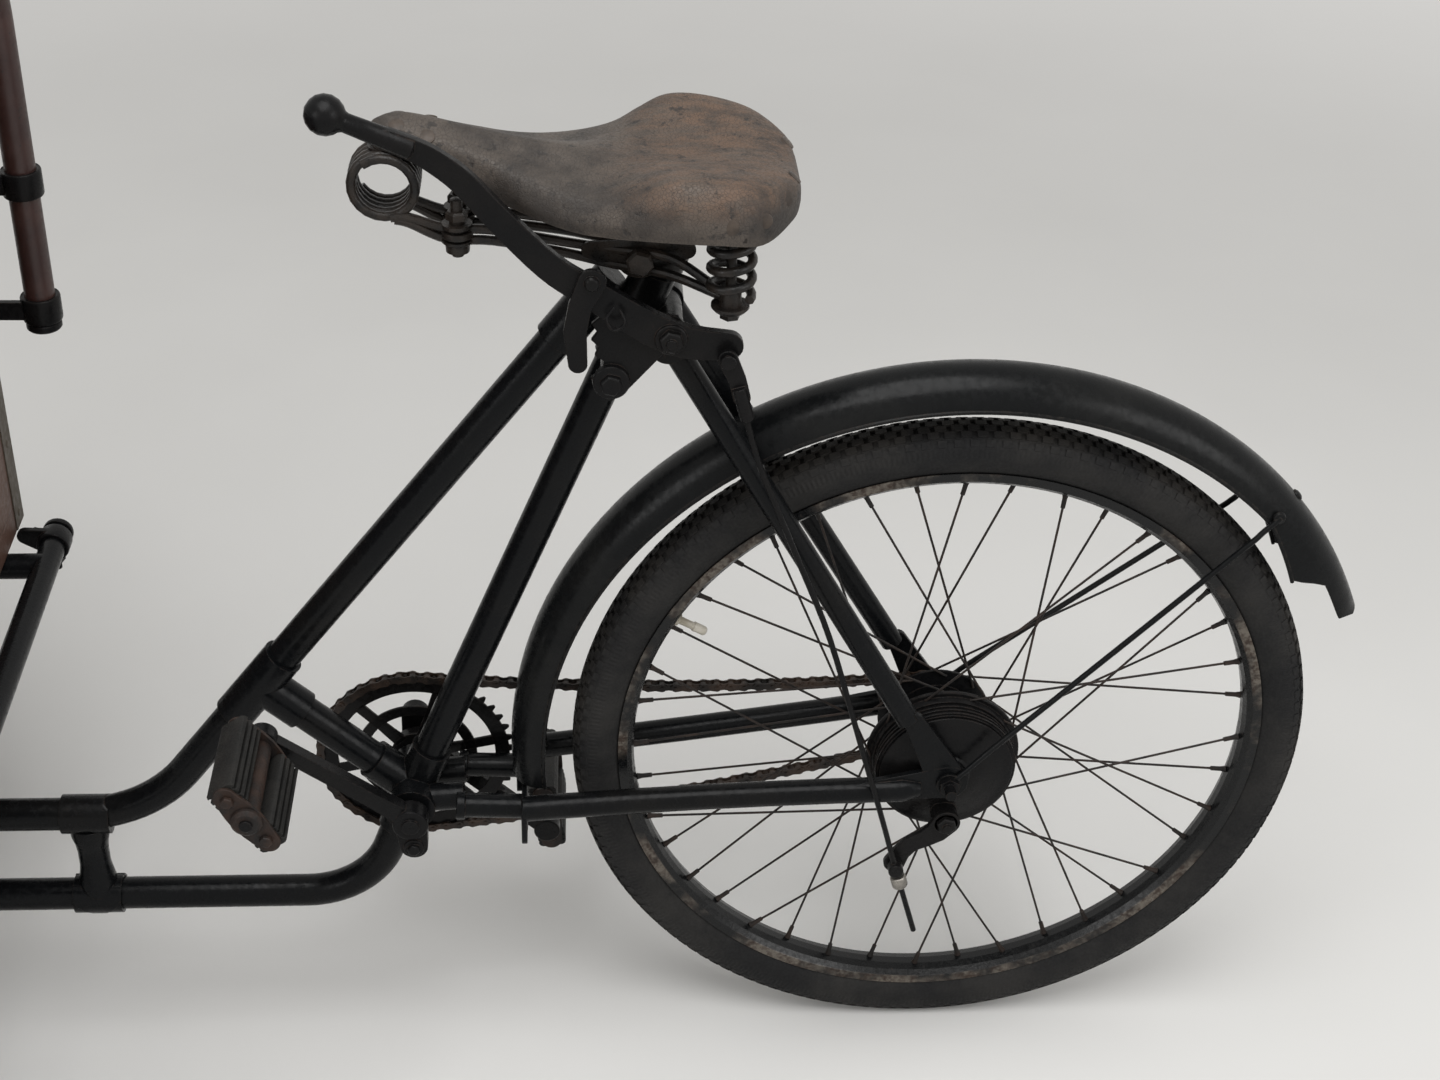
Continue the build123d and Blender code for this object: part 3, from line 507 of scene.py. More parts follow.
def tyre_rubber(name, centre):
    """Dusty rubber, browner near the tread, with fine ribs round the wall."""
    material, tree, surface, where = bare_material(name)
    radius, turn = from_hub(tree, where, centre)[:2]
    patches = mottle(tree, where, 12.0, 6.0, 0.65)
    specks = mottle(tree, where, 420.0, 4.0, 0.6)
    grey = tint(tree, between(tree, patches, 0.35, 0.7), (0.0075, 0.0075, 0.0080),
                (0.021, 0.020, 0.019))
    foot = between(tree, radius, tyre_radius - 0.010, tyre_radius)
    dirt = sums(tree, "MULTIPLY", foot, between(tree, patches, 0.4, 0.6, 0.15, 0.7))
    coated(tree, surface, tint(tree, dirt, grey, (0.036, 0.032, 0.028)),
           between(tree, specks, 0.3, 0.7, 0.62, 0.85), 0.2)
    ribs = sums(tree, "SINE", sums(tree, "MULTIPLY", turn, wall_ribs))
    wall = sums(tree, "MULTIPLY", between(tree, radius, tyre_radius - 0.024, tyre_radius - 0.020),
                between(tree, radius, tyre_radius - 0.012, tyre_radius - 0.016))
    height = sums(tree, "ADD", sums(tree, "MULTIPLY", sums(tree, "MULTIPLY", ribs, wall), 0.45),
                  sums(tree, "MULTIPLY", specks, 0.5))
    relief(tree, surface, height, 0.0005, 0.8)
    return material


def tread_block(piece, centre, row, side, angle, length):
    """One block of a tread row, its foot sunk in the casing."""
    y_in, drop_in, y_out, drop_out = row[:4]
    corners = ((y_in, drop_in, -length), (y_in, drop_in, length),
               (y_out, drop_out, length), (y_out, drop_out, -length))
    piece.skin([[in_wheel(centre, tyre_radius + drop - sink, angle + turn,
                          side * y * (1 - sink * 22)) for y, drop, turn in corners]
                for sink in (block_foot, 0.0)])


def tyre(word, body, centre):
    """One tyre: its casing and its tread."""
    piece = Workpiece()
    half = [(y, 1000 * tyre_radius + drop) for y, drop in casing]
    outline = [(-y, radius) for y, radius in reversed(half[1:])] + half
    piece.turned(centre, (0, 1, 0), outline, 180, ring=True)
    blocks = round(2 * pi * tyre_radius / tread_pitch)
    for row in tread_rows:
        stagger, share = row[4:]
        sides = (1,) if row[0] < 0 else (-1, 1)
        for block in range(blocks):
            for side in sides:
                tread_block(piece, centre, row, side, 2 * pi * (block + stagger) / blocks,
                            share * pi / blocks)
    made = piece.make(f"{word}_tyre", body, tyre_rubber(f"{word}_rubber", centre),
                      "tyre_rubber", 30)
    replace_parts(made, wheel_piece(word, "tyre"))


for wheel in wheels:
    tyre(*wheel)


# Spokes: drawn wire, threaded at the rim into small nipples and hooked in the flanges.
# They cross three times on the way out and have gone brown all over.
spoke_radius, spoke_crossings, rim_bed = 1.1, 3, 0.2792


def rusty_steel(name, dark, brown, rough=0.62):
    """Bare steel gone brown, with darker oily patches."""
    material, tree, surface, where = bare_material(name)
    patches = mottle(tree, where, 40.0, 6.0, 0.65)
    specks = mottle(tree, where, 600.0, 4.0, 0.6)
    coated(tree, surface, tint(tree, between(tree, patches, 0.36, 0.64), dark, brown),
           between(tree, specks, 0.3, 0.7, rough - 0.18, rough + 0.1), 0.25)
    relief(tree, surface, specks, 0.0003, 0.7)
    return material


spoke_steel = rusty_steel("spoke_steel", (0.009, 0.008, 0.0075), (0.026, 0.017, 0.013))
# A flange: side, spokes, radius of its holes, inner and outer face, shift of the first.
flanges = {
    "rear": ((1, 20, 0.0655, 0.0190, 0.0254, 0.0), (-1, 20, 0.0480, 0.0308, 0.0368, 0.5)),
    "front": ((1, 18, 0.0275, 0.0260, 0.0334, 0.0), (-1, 18, 0.0275, 0.0260, 0.0334, 0.5)),
}


def spokes(word, body, centre):
    """All the spokes and nipples of one wheel."""
    piece = Workpiece()
    for side, count, hole_radius, inside, outside, shift in flanges[word.split("_")[0]]:
        for index in range(count):
            leads = index % 2 == 0
            hole = 2 * pi * (index + shift) / count
            reach = spoke_crossings * 2 * pi / count * (1 if leads else -1)
            face, back = (outside, inside) if leads else (inside, outside)
            start = in_wheel(centre, hole_radius, hole, side * face)
            head = in_wheel(centre, hole_radius, hole, side * (face + (back - face) * 0.75))
            end = in_wheel(centre, rim_bed, hole + reach, side * 0.003)
            along = (end - start).normalized()
            piece.wire([head, start, start + along * 0.003, end - along * 0.004],
                       [1.9, spoke_radius, spoke_radius, spoke_radius], 7)
            piece.wire([end - along * 0.014, end - along * 0.0135, end - along * 0.0045, end],
                       [1.4, 2.1, 2.2, 3.1], 8)
    made = piece.make(f"{word}_spokes", body, spoke_steel, "rusty_steel", 40)
    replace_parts(made, wheel_piece(word, "spokes"))


for wheel in wheels:
    spokes(*wheel)


# Valve: a brass stem through the rim with a pale dust cap, one to a wheel.
# It points at the hub between two spokes and its nut sits on the rim's bed.
valve_angle = 29.3
valve_cap = rusty_steel("valve_cap", (0.30, 0.27, 0.21), (0.50, 0.47, 0.41), 0.5)
for word, body, centre in wheels:
    angle = radians(valve_angle if word == "rear" else 250.0)
    inward = Vector((-cos(angle), 0, -sin(angle)))
    foot = centre - inward * (rim_bed + 0.0003)
    valve = Workpiece()
    valve.turned(foot, inward,
                 [(0, 0), (0, 6), (3, 6), (3, 3.6), (18, 3.4), (18, 4.4), (29, 4.2), (30.5, 3),
                  (30.8, 0)], 16)
    valve.make(f"{word}_valve", body, valve_cap, "worn_steel")


# Drum and hub flanges: the drum's rim carries the near spokes, a pressed disc the far ones.
# They turn with the wheel, painted black, with dust caked round the spoke heads.
wheel_body = joints["rear_wheel_spin"]["child"]
flange_pair = Workpiece()
near_rim = [(20, 58), (20, 69), (21.2, 70), (23.4, 70), (24.2, 69), (24.2, 65.5), (26.2, 65),
            (30, 64), (30, 58)]
flange_pair.turned(rear_hub, (0, 1, 0), near_rim, 96, ring=True)
far_rim = [(-32, 28), (-32, 50.5), (-32.8, 52), (-34.8, 52), (-35.6, 50.5), (-35.6, 28)]
flange_pair.turned(rear_hub, (0, 1, 0), far_rim, 96, ring=True)
for ridge in (33.5, 38.5, 43.5):
    flange_pair.turned(rear_hub, (0, 1, 0),
                       [(ridge, 61.5), (ridge, 63.4), (ridge + 1.8, 63.4), (ridge + 1.8, 61.5)],
                       96, ring=True)
flange_pair.make("rear_hub_flanges", wheel_body, oiled_steel, "worn_steel")


# Brake plate: a pressed disc with two steps that closes the drum and stands still.
# A curved arm on its lower edge takes the rod; a nut and washer hold it on the axle.
cam_x, cam_z = -1.3, 290.6
arm_end_x, arm_end_z = 42.3, 244.6
brake_plate = Workpiece()
brake_plate.turned(at(0, 47.6, 335), (0, 1, 0),
                   [(0, 0), (0, 60.2), (1.6, 60.2), (2.6, 56), (2.6, 50), (4.2, 47), (4.2, 36),
                    (5.8, 33), (5.8, 21), (8, 19), (8, 0)], 72)
brake_plate.bar(66.5, [(cam_x, cam_z, 13), (7, 279, 11), (17, 272, 9), (29, 266, 8.5),
                       (37, 256, 8.5), (arm_end_x, arm_end_z, 10)], 5)
brake_plate.turned(at(cam_x, 50, cam_z), (0, 1, 0),
                   [(0, 0), (0, 12.5), (13, 11), (19, 11), (19, 0)], 28)
brake_plate.nut(at(cam_x, 69, cam_z), (0, 1, 0), 9.5, 5.5)
brake_plate.turned(at(cam_x, 74, cam_z), (0, 1, 0), [(0, 0), (0, 4.2), (3, 3.8), (3, 0)], 16)
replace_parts(brake_plate.make("brake_plate_pressed", chassis, oiled_steel, "worn_steel",
                             soften=0.5), "brake_plate")


# Chain: pairs of steel side plates riveted over rollers, one pair inside the next.
# Both runs hang slack between the sprocket and the chainwheel, and old oil has dried brown.
chain_pitch, chain_line, chain_slack = 0.0127, -0.0464, 0.011
ring_teeth, cog_teeth = 44, 18
ring_radius = chain_pitch / (2 * sin(pi / ring_teeth))
cog_radius = chain_pitch / (2 * sin(pi / cog_teeth))
bracket = Vector(joints["crank_spin"]["pos_m"])
chain_span = Vector((bracket.x - rear_hub.x, 0, bracket.z - rear_hub.z))
cog_middle = Vector((rear_hub.x, chain_line, rear_hub.z))
chain_slope = atan2(chain_span.z, chain_span.x)
chain_flare = asin((ring_radius - cog_radius) / chain_span.length)
upper_normal = chain_slope + pi / 2 + chain_flare
lower_normal = chain_slope - pi / 2 - chain_flare


def on_run(normal, share):
    """A place on one run, share of the way to the chainwheel."""
    radius = cog_radius + share * (ring_radius - cog_radius)
    sag = 4 * chain_slack * share * (1 - share)
    return cog_middle + chain_span * share + Vector((radius * cos(normal), 0,
                                                     radius * sin(normal) - sag))


def on_wheel(share, radius, first, last, step):
    """A place on the chain's way round one wheel."""
    angle = first + (last - first) * step
    return in_wheel(cog_middle + chain_span * share, radius, angle, 0)


route = [on_run(upper_normal, step / 90) for step in range(90)]
route += [on_wheel(1, ring_radius, upper_normal, lower_normal, step / 90) for step in range(90)]
route += [on_run(lower_normal, 1 - step / 90) for step in range(90)]
route += [on_wheel(0, cog_radius, lower_normal, upper_normal - 2 * pi, step / 90)
          for step in range(91)]
chain_length = sum((second - first).length for first, second in zip(route, route[1:]))
link_count = 2 * round(chain_length / chain_pitch / 2)
pins, walked, place = [], 0.0, 0
for link in range(link_count):
    wanted = chain_length * link / link_count
    while walked + (route[place + 1] - route[place]).length < wanted:
        walked += (route[place + 1] - route[place]).length
        place += 1
    leg = route[place + 1] - route[place]
    pins.append(route[place] + leg.normalized() * (wanted - walked))
chain = Workpiece()
for link, pin in enumerate(pins):
    ahead = pins[(link + 1) % link_count]
    heading = atan2(ahead.z - pin.z, ahead.x - pin.x)
    outline = []
    for middle, first in ((pin, heading + pi / 2), (ahead, heading - pi / 2)):
        for step in range(7):
            angle = first + pi * step / 6
            outline.append((middle.x + 0.0043 * cos(angle), middle.z + 0.0043 * sin(angle)))
        narrow = (pin + ahead) / 2
        turn = first - pi if middle is pin else first + pi
        outline.append((narrow.x + 0.0031 * cos(turn), narrow.z + 0.0031 * sin(turn)))
    inside = 0.0019 if link % 2 else 0.0031
    for side in (-1, 1):
        chain.plate(outline, chain_line + side * inside, chain_line + side * (inside + 0.0011))
    chain.turned(pin, (0, 1, 0), [(-1.9, 0), (-1.9, 3.8), (1.9, 3.8), (1.9, 0)], 12)
    chain.turned(pin, (0, 1, 0), [(-5, 0), (-5, 1.7), (5, 1.7), (5, 0)], 8)
chain_steel = rusty_steel("chain_steel", (0.010, 0.008, 0.007), (0.042, 0.026, 0.018), 0.45)
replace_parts(chain.make("chain_links", joints["crank_spin"]["parent"], chain_steel, "rusty_steel"),
            "chain")


# Chainwheel: cut from steel plate with 44 teeth, six arms and a ring between them.
# It is screwed on the right crank's boss; oil and dust lie on it, and the teeth are bare.
crank_body = joints["crank_spin"]["child"]
tooth_shape = [(85.5, -3.6), (89.0, -2.4), (91.7, -1.0), (91.7, 1.0), (89.0, 2.4), (85.5, 3.6)]
arm_shape = [(20, -6.5), (46, -5.0), (75, -5.2), (75, 5.2), (46, 5.0), (20, 6.5)]


def round_bracket(angle, shape):
    """An outline of (distance from the axle, half width), laid at an angle round it."""
    return [(bracket.x + (radius * cos(angle) - half * sin(angle)) / 1000,
             bracket.z + (radius * sin(angle) + half * cos(angle)) / 1000)
            for radius, half in shape]


ring_centre = bracket + Vector((0, chain_line - bracket.y, 0))
chainwheel = Workpiece()
for inner, outer in ((73, 86.2), (46, 56)):
    chainwheel.turned(ring_centre, (0, 1, 0),
                      [(-1.2, inner), (-1.2, outer), (1.2, outer), (1.2, inner)], 132, ring=True)
chainwheel.turned(ring_centre, (0, 1, 0), [(-1.2, 0), (-1.2, 24), (1.2, 24), (1.2, 0)], 64)
chainwheel.turned(ring_centre, (0, 1, 0),
                  [(-15.6, 0), (-15.6, 19), (-14, 21), (-1.2, 21), (-1.2, 0)], 48)
for tooth in range(ring_teeth):
    chainwheel.plate(round_bracket(2 * pi * (tooth + 0.5) / ring_teeth, tooth_shape),
                     chain_line - 0.0010, chain_line + 0.0010)
for arm in range(6):
    chainwheel.plate(round_bracket(radians(47.5 + 60 * arm), arm_shape),
                     chain_line - 0.0012, chain_line + 0.0012)
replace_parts(chainwheel.make("chainwheel_cut", crank_body, oiled_steel, "worn_steel"),
            "chainwheel")


# Cranks: forged steel arms, each with a split lobe under the axle that a bolt closes.
# The left arm is set in at its root; a pin at each arm's end is threaded for its pedal.
axle_x, axle_z = 480, 286
crank_length, crank_lie, left_set_in = 165, radians(43.7), 0.024


def from_axle(reach, heading):
    """A place (x, z) in millimetres, so far from the bracket axle at a heading."""
    return axle_x + reach * cos(heading), axle_z + reach * sin(heading)


for side, crank in ((1, "crank_left"), (-1, "crank_right")):
    lie = crank_lie + (0 if side > 0 else pi)
    drop = lie - radians(138)
    along, arm_y = Vector((cos(lie), 0, sin(lie))), side * 72
    eye_x, eye_z = from_axle(crank_length, lie)
    lobe_x, lobe_z = from_axle(27, drop)
    lobe = at(lobe_x, arm_y, lobe_z)
    arm = Workpiece()
    arm.bar(arm_y, [(*from_axle(9, drop), 11), (*from_axle(19, lie), 9.6),
                    (*from_axle(45, lie), 7.8), (eye_x, eye_z, 7.2)], 11.4)
    arm.flat(arm_y, [(axle_x, axle_z, 15), (lobe_x, lobe_z, 12.5)], 12.6)
    arm.turned(at(axle_x, arm_y - 9.5, axle_z), (0, 1, 0),
               [(0, 0), (0, 15), (1, 16), (18, 16), (19, 15), (19, 0)], 40)
    arm.turned(at(eye_x, arm_y - 7, eye_z), (0, 1, 0),
               [(0, 0), (0, 11.8), (1, 12.6), (13, 12.6), (14, 11.8), (14, 0)], 32)
    arm.wire([at(eye_x, arm_y, eye_z), at(eye_x, arm_y + side * 116, eye_z)], 5.5, 20)
    if side > 0:
        arm.wire([at(axle_x, -84, axle_z), at(axle_x, 84, axle_z)], 8, 28)
    arm.turned(lobe, (0, side, 0), [(0, 0), (0, 9.5), (7.8, 9.5), (8.6, 8.8), (8.6, 0)], 28)
    arm.nut(lobe + Vector((0, side * 0.008, 0)), (0, side, 0), 6.2, 4.5)
    if side > 0:
        for point in arm.points:
            if point.y > 0.03:
                reach = (point - at(axle_x, 0, axle_z)).dot(along)
                point.y -= left_set_in * (1 - min(max((reach - 0.022) / 0.128, 0), 1))
    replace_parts(arm.make(f"{crank}_forged", crank_body, oiled_steel, "worn_steel", soften=0.8),
                crank)


# Pedals: two grooved rubber blocks on steel rods between end plates, with a pressed
# dust cap over the bearing at the outer end; the caps and plates have rusted.
pedal_rubber = rusty_steel("pedal_rubber", (0.0070, 0.0070, 0.0066), (0.0165, 0.0155, 0.0140),
                           0.66)
pedal_steel = rusty_steel("pedal_steel", (0.009, 0.0075, 0.007), (0.030, 0.0165, 0.0115), 0.6)
block_top = [(-12.5, 9.5), (-11, 12.3), (-8, 13.5), (-7.4, 10.4), (-5.4, 10.4), (-4.8, 13.5),
             (-1.2, 13.5), (-1.0, 10.4), (1.0, 10.4), (1.2, 13.5), (4.8, 13.5), (5.4, 10.4),
             (7.4, 10.4), (8, 13.5), (11, 12.3), (12.5, 9.5)]
block_shape = block_top + [(u, -v) for u, v in reversed(block_top)]
plate_half = [(28 + 10 * cos(pi * step / 24 - pi / 2), 10 * sin(pi * step / 24 - pi / 2))
              for step in range(25)] + [(12, 13), (0, 14), (-12, 13)]
plate_shape = plate_half + [(-u, -v) for u, v in plate_half]


def pedal(side, word, tilt):
    """One pedal, tilted by so many degrees, on the pin at its crank's end."""
    body = joints[f"{word}_pedal_spin"]["child"]
    lie, tilted = crank_lie + (0 if side > 0 else pi), radians(tilt)
    middle = bracket + Vector((cos(lie), 0, sin(lie))) * (crank_length / 1000)
    inner_y, outer_y = side * 0.084, side * 0.180

    def on_pedal(u, v):
        """A place (x, z) from one along the pedal and up through it, in millimetres."""
        return (middle.x + (u * cos(tilted) - v * sin(tilted)) / 1000,
                middle.z + (u * sin(tilted) + v * cos(tilted)) / 1000)

    blocks, metal = Workpiece(), Workpiece()
    for block_u in (-25, 25):
        blocks.plate([on_pedal(block_u + u, v) for u, v in block_shape],
                     inner_y + side * 0.003, outer_y - side * 0.003)
    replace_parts(blocks.make(f"pedal_{word}_blocks", body, pedal_rubber, "pedal_rubber",
                            soften=0.4), f"pedal_{word}")
    for plate_y, depth in ((inner_y, side * 0.003), (outer_y, -side * 0.003)):
        metal.plate([on_pedal(u, v) for u, v in plate_shape], plate_y, plate_y + depth)
    metal.turned(Vector((middle.x, inner_y, middle.z)), (0, side, 0),
                 [(0.5, 0), (0.5, 9.5), (95, 9.5), (95.5, 13.5), (99, 13), (101.5, 10), (102, 0)],
                 32)
    for rod_u in (-25, 25):
        x, z = on_pedal(rod_u, 0)
        metal.nut(Vector((x, outer_y, z)), (0, side, 0), 5.8, 4)
        metal.turned(Vector((x, inner_y, z)), (0, -side, 0),
                     [(0, 0), (0, 5.5), (1.8, 4.5), (2.6, 0)], 14)
    metal.make(f"pedal_{word}_steel", body, pedal_steel, "rusty_steel", soften=0.5)


pedal(1, "left", 56.0)
pedal(-1, "right", 82.0)


# Saddle: thick leather moulded over a frame, riveted at the nose and along its back edge.
# The seat has hollowed and dried to grey-brown, with dark pits and cracks in its grain.
# A section: x, half width, lower edge, flank, half width and height of the crown, top.
saddle_sections = [
    (485, 4, 918, 921, 2.5, 925, 928), (478, 12, 914, 920, 7, 931, 935),
    (458, 20, 912, 918, 13, 934, 939), (412, 30, 892, 903, 15, 924, 929),
    (372, 48, 880, 891, 20, 913, 920), (335, 71, 875, 886, 28, 906, 914),
    (304, 86, 876, 888, 42, 906, 911), (280, 95, 878, 890, 66, 914, 909),
    (256, 101, 879, 892, 76, 922, 909), (225, 102, 878, 893, 76, 921, 910),
    (190, 90, 873, 889, 66, 915, 910), (165, 56, 878, 886, 42, 905, 903),
    (158, 34, 882, 886, 26, 895, 896),
]


def through(points, steps):
    """A smooth line through every point, with so many steps from one to the next."""
    smooth = []
    for index in range(len(points) - 1):
        before = points[max(index - 1, 0)]
        first, second = points[index], points[index + 1]
        after = points[min(index + 2, len(points) - 1)]
        for step in range(steps):
            s = step / steps
            smooth.append(tuple(
                0.5 * (2 * b + (c - a) * s + (2 * a - 5 * b + 4 * c - d) * s * s
                       + (3 * b - a - 3 * c + d) * s ** 3)
                for a, b, c, d in zip(before, first, second, after)))
    smooth.append(points[-1])
    return smooth


def saddle_ring(section):
    """The leather's outline at one place along the saddle, outside and then inside."""
    x, half, low, flank, crown_half, crown, top = section
    shoulder = (crown_half + 0.75 * (half - crown_half), flank + 0.72 * (crown - flank))
    right = [(half - 1.5, low), (half, flank), shoulder, (crown_half, crown)]
    line = [(-y, z) for y, z in right] + [(0, top)] + right[::-1]
    outside = through(line, 5)
    inside = []
    for index, (y, z) in enumerate(outside):
        back = outside[max(index - 1, 0)]
        ahead = outside[min(index + 1, len(outside) - 1)]
        run_y, run_z = ahead[0] - back[0], ahead[1] - back[1]
        run = sqrt(run_y ** 2 + run_z ** 2)
        wall = min(4.0, half * 0.45)
        inside.append((y + wall * run_z / run, z - wall * run_y / run))
    return [at(x, y, z) for y, z in outside + inside[::-1]]


def dried_leather():
    """Grey-brown hide, tan where it is sat on, with pits and fine cracks."""
    leather, tree, surface, where = bare_material("saddle_leather")
    apart = tree.nodes.new("ShaderNodeSeparateXYZ")
    tree.links.new(where, apart.inputs["Vector"])
    patches = mottle(tree, where, 22.0, 6.0, 0.6)
    streaks = mottle(tree, where, 60.0, 5.0, 0.6, (0.6, 1.6, 1.0))
    pores = mottle(tree, where, 420.0, 4.0, 0.62)
    pits = between(tree, mottle(tree, where, 95.0, 5.0, 0.65), 0.56, 0.68)
    cells = tree.nodes.new("ShaderNodeTexVoronoi")
    cells.feature = "DISTANCE_TO_EDGE"
    cells.inputs["Scale"].default_value = 330.0
    tree.links.new(where, cells.inputs["Vector"])
    crack = between(tree, cells.outputs["Distance"], 0.10, 0.0)
    seat = between(tree, apart.outputs["X"], at(330, 0, 0).x, at(240, 0, 0).x)
    high = between(tree, apart.outputs["Z"], 0.890, 0.912)
    sat_on = sums(tree, "MULTIPLY", sums(tree, "MULTIPLY", seat, high),
                  between(tree, streaks, 0.35, 0.65, 0.2, 0.85))
    hide = tint(tree, between(tree, patches, 0.36, 0.66), (0.027, 0.022, 0.0185),
                (0.074, 0.060, 0.049))
    hide = tint(tree, sat_on, hide, (0.118, 0.072, 0.047))
    hide = tint(tree, sums(tree, "MULTIPLY", pits, 0.85), hide, (0.014, 0.012, 0.011))
    hide = tint(tree, sums(tree, "MULTIPLY", crack, 0.55), hide, (0.020, 0.016, 0.014))
    coated(tree, surface, hide, between(tree, pores, 0.3, 0.7, 0.48, 0.72), 0.4)
    sunk = sums(tree, "ADD", sums(tree, "MULTIPLY", crack, 0.3), sums(tree, "MULTIPLY", pits, 0.6))
    relief(tree, surface, sums(tree, "SUBTRACT", sums(tree, "MULTIPLY", pores, 0.5), sunk),
           0.0006, 0.8)
    return leather


saddle_lines = through(saddle_sections, 7)
saddle = Workpiece()
saddle.skin([saddle_ring(section) for section in saddle_lines])
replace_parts(saddle.make("saddle_leather", chassis, dried_leather(), "saddle_leather", 50),
            "saddle_top")
rivets = Workpiece()
for x, spot in ((462, 15), (440, 12), (462, 25), (440, 28), (215, 5), (190, 6), (172, 9),
                 (215, 35), (190, 34), (172, 31), (163, 16), (163, 24)):
    ring = saddle_ring(min(saddle_lines, key=lambda line: abs(line[0] - x)))
    beside = ring[spot + 1] - ring[spot - 1]
    outward = Vector((0.0, -beside.z, beside.y)).normalized()
    if x < 175:
        outward = (outward + Vector((-0.9, 0, 0))).normalized()
    rivets.turned(ring[spot] - outward * 0.0014, outward,
                  [(0, 0), (0, 6.2), (1.4, 6), (2.2, 3.6), (2.4, 0)], 24)
rivet_steel = rusty_steel("rivet_steel", (0.030, 0.024, 0.020), (0.070, 0.054, 0.043), 0.5)
rivets.make("saddle_rivets", chassis, rivet_steel, "rusty_steel")


# Saddle springs: a close coil across the nose, two pairs of wires back from its clamps,
# and an open coil under each rear corner. All are bent from one gauge of steel wire.
wire_radius = 3.8
clamp_x, clamp_z = 280, 832


def coil(centre, along, across, radius, turns, pitch, start):
    """The line of a coil round an axis, its radius and pitch in millimetres."""
    along, across = Vector(along), Vector(across)
    beside = along.cross(across)
    steps = round(turns * 22)
    line = []
    for step in range(steps + 1):
        angle = start + 2 * pi * turns * step / steps
        line.append(centre + along * (pitch / 1000 * turns * step / steps)
                    + (across * cos(angle) + beside * sin(angle)) * (radius / 1000))
    return line


def eased(line, steps=5):
    """A route through places in millimetres, rounded at every one of them."""
    return [at(*place) for place in through(line, steps)]


springs = Workpiece()
springs.wire(coil(at(475, -19, 885), (0, 1, 0), (1, 0, 0), 24.5, 4.75, 8, radians(35)),
             wire_radius, 12)
springs.wire([at(475, 0, 905), at(475, 0, 920)], 4.2, 14)
springs.turned(at(475, 0, 904), (0, 0, 1), [(0, 0), (0, 10), (3.5, 10), (5, 8.5), (5, 0)], 6)
springs.turned(at(475, 0, 912), (0, 0, 1), [(0, 0), (0, 11.5), (1.6, 11.5), (1.6, 0)], 28)
for side in (-1, 1):
    for lift, back in ((0, 0), (-9, -3)):
        springs.wire(eased([(470 + back, side * 17, 861 + lift * 0.2),
                            (456, side * 17, 861 + lift * 0.5), (428, side * 16, 852 + lift),
                            (393, side * 17, 851 + lift), (340, side * 20, 843 + lift),
                            (300, side * 23, 838 + lift * 1.4), (257, side * 34, 836 + lift * 1.6),
                            (224, side * 52, 822 + lift * 0.7),
                            (205, side * 62, 817 + lift * 0.6)]), wire_radius, 10)
    clamp = at(420, side * 16, 829)
    springs.turned(clamp, (0, 0, 1),
                   [(0, 0), (0, 4.5), (4, 4.5), (4, 9.2), (10.5, 9.8), (12.5, 12.5), (14.5, 12.5),
                    (14.5, 8), (16.5, 8), (16.5, 12), (19, 12.5), (21.5, 12), (21.5, 8.2),
                    (24.5, 8.2), (24.5, 11.8), (27.5, 11.8), (27.5, 6), (31, 6), (31, 4.8),
                    (47, 4.6), (48, 0)], 28)
    springs.nut(clamp + Vector((0, 0, 0.031)), (0, 0, 1), 8.8, 6.8)
    foot = at(211, side * 62, 818)
    springs.wire(coil(foot, (0, 0, 1), (1, 0, 0), 16, 4.0, 15, radians(150)), wire_radius, 12)
    springs.turned(foot + Vector((0, 0, -0.012)), (0, 0, 1),
                   [(0, 0), (0, 12.5), (2.8, 15), (5, 15), (5, 9), (12, 8.5), (20, 8.5), (20, 0)],
                   28)
    springs.wire([foot, foot + Vector((0, 0, 0.066))], 4, 12)
    springs.nut(foot + Vector((0, 0, -0.0185)), (0, 0, 1), 8.2, 6.5)
strip = [(203, -97), (232, -97), (238, -60), (238, 60), (232, 97), (203, 97), (196, 60), (188, 0),
         (196, -60)]
springs.skin([[at(x, y, z) for x, y in strip] for z in (878.5, 882)])
springs.turned(at(clamp_x, -31, clamp_z), (0, 1, 0),
               [(0, 0), (0, 9.5), (6, 9.5), (6, 15.5), (16, 16), (18, 12.5), (44, 12.5), (46, 16),
                (56, 15.5), (56, 9.5), (62, 9.5), (62, 0)], 36)
for side in (-1, 1):
    springs.nut(at(clamp_x, side * 31, clamp_z), (0, side, 0), 11.2, 8.5)
    springs.turned(at(clamp_x, side * 20, clamp_z), (0, side, 0),
                   [(0, 0), (0, 19), (2.5, 19), (2.5, 0)], 36)
    springs.bar(side * 24, [(243, 838, 7), (clamp_x, clamp_z, 15), (318, 838, 7)], 3)
collar = (at(246.6, 0, 845) - at(265, 0, 800)).normalized()
springs.turned(at(252, 0, 838) - collar * 0.024, collar,
               [(0, 12.6), (0, 18), (40, 18), (40, 12.6)], 32, ring=True)
spring_steel = rusty_steel("spring_steel", (0.0075, 0.007, 0.0068), (0.026, 0.020, 0.016), 0.4)
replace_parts(springs.make("saddle_wires", chassis, spring_steel, "rusty_steel"), "saddle_springs")


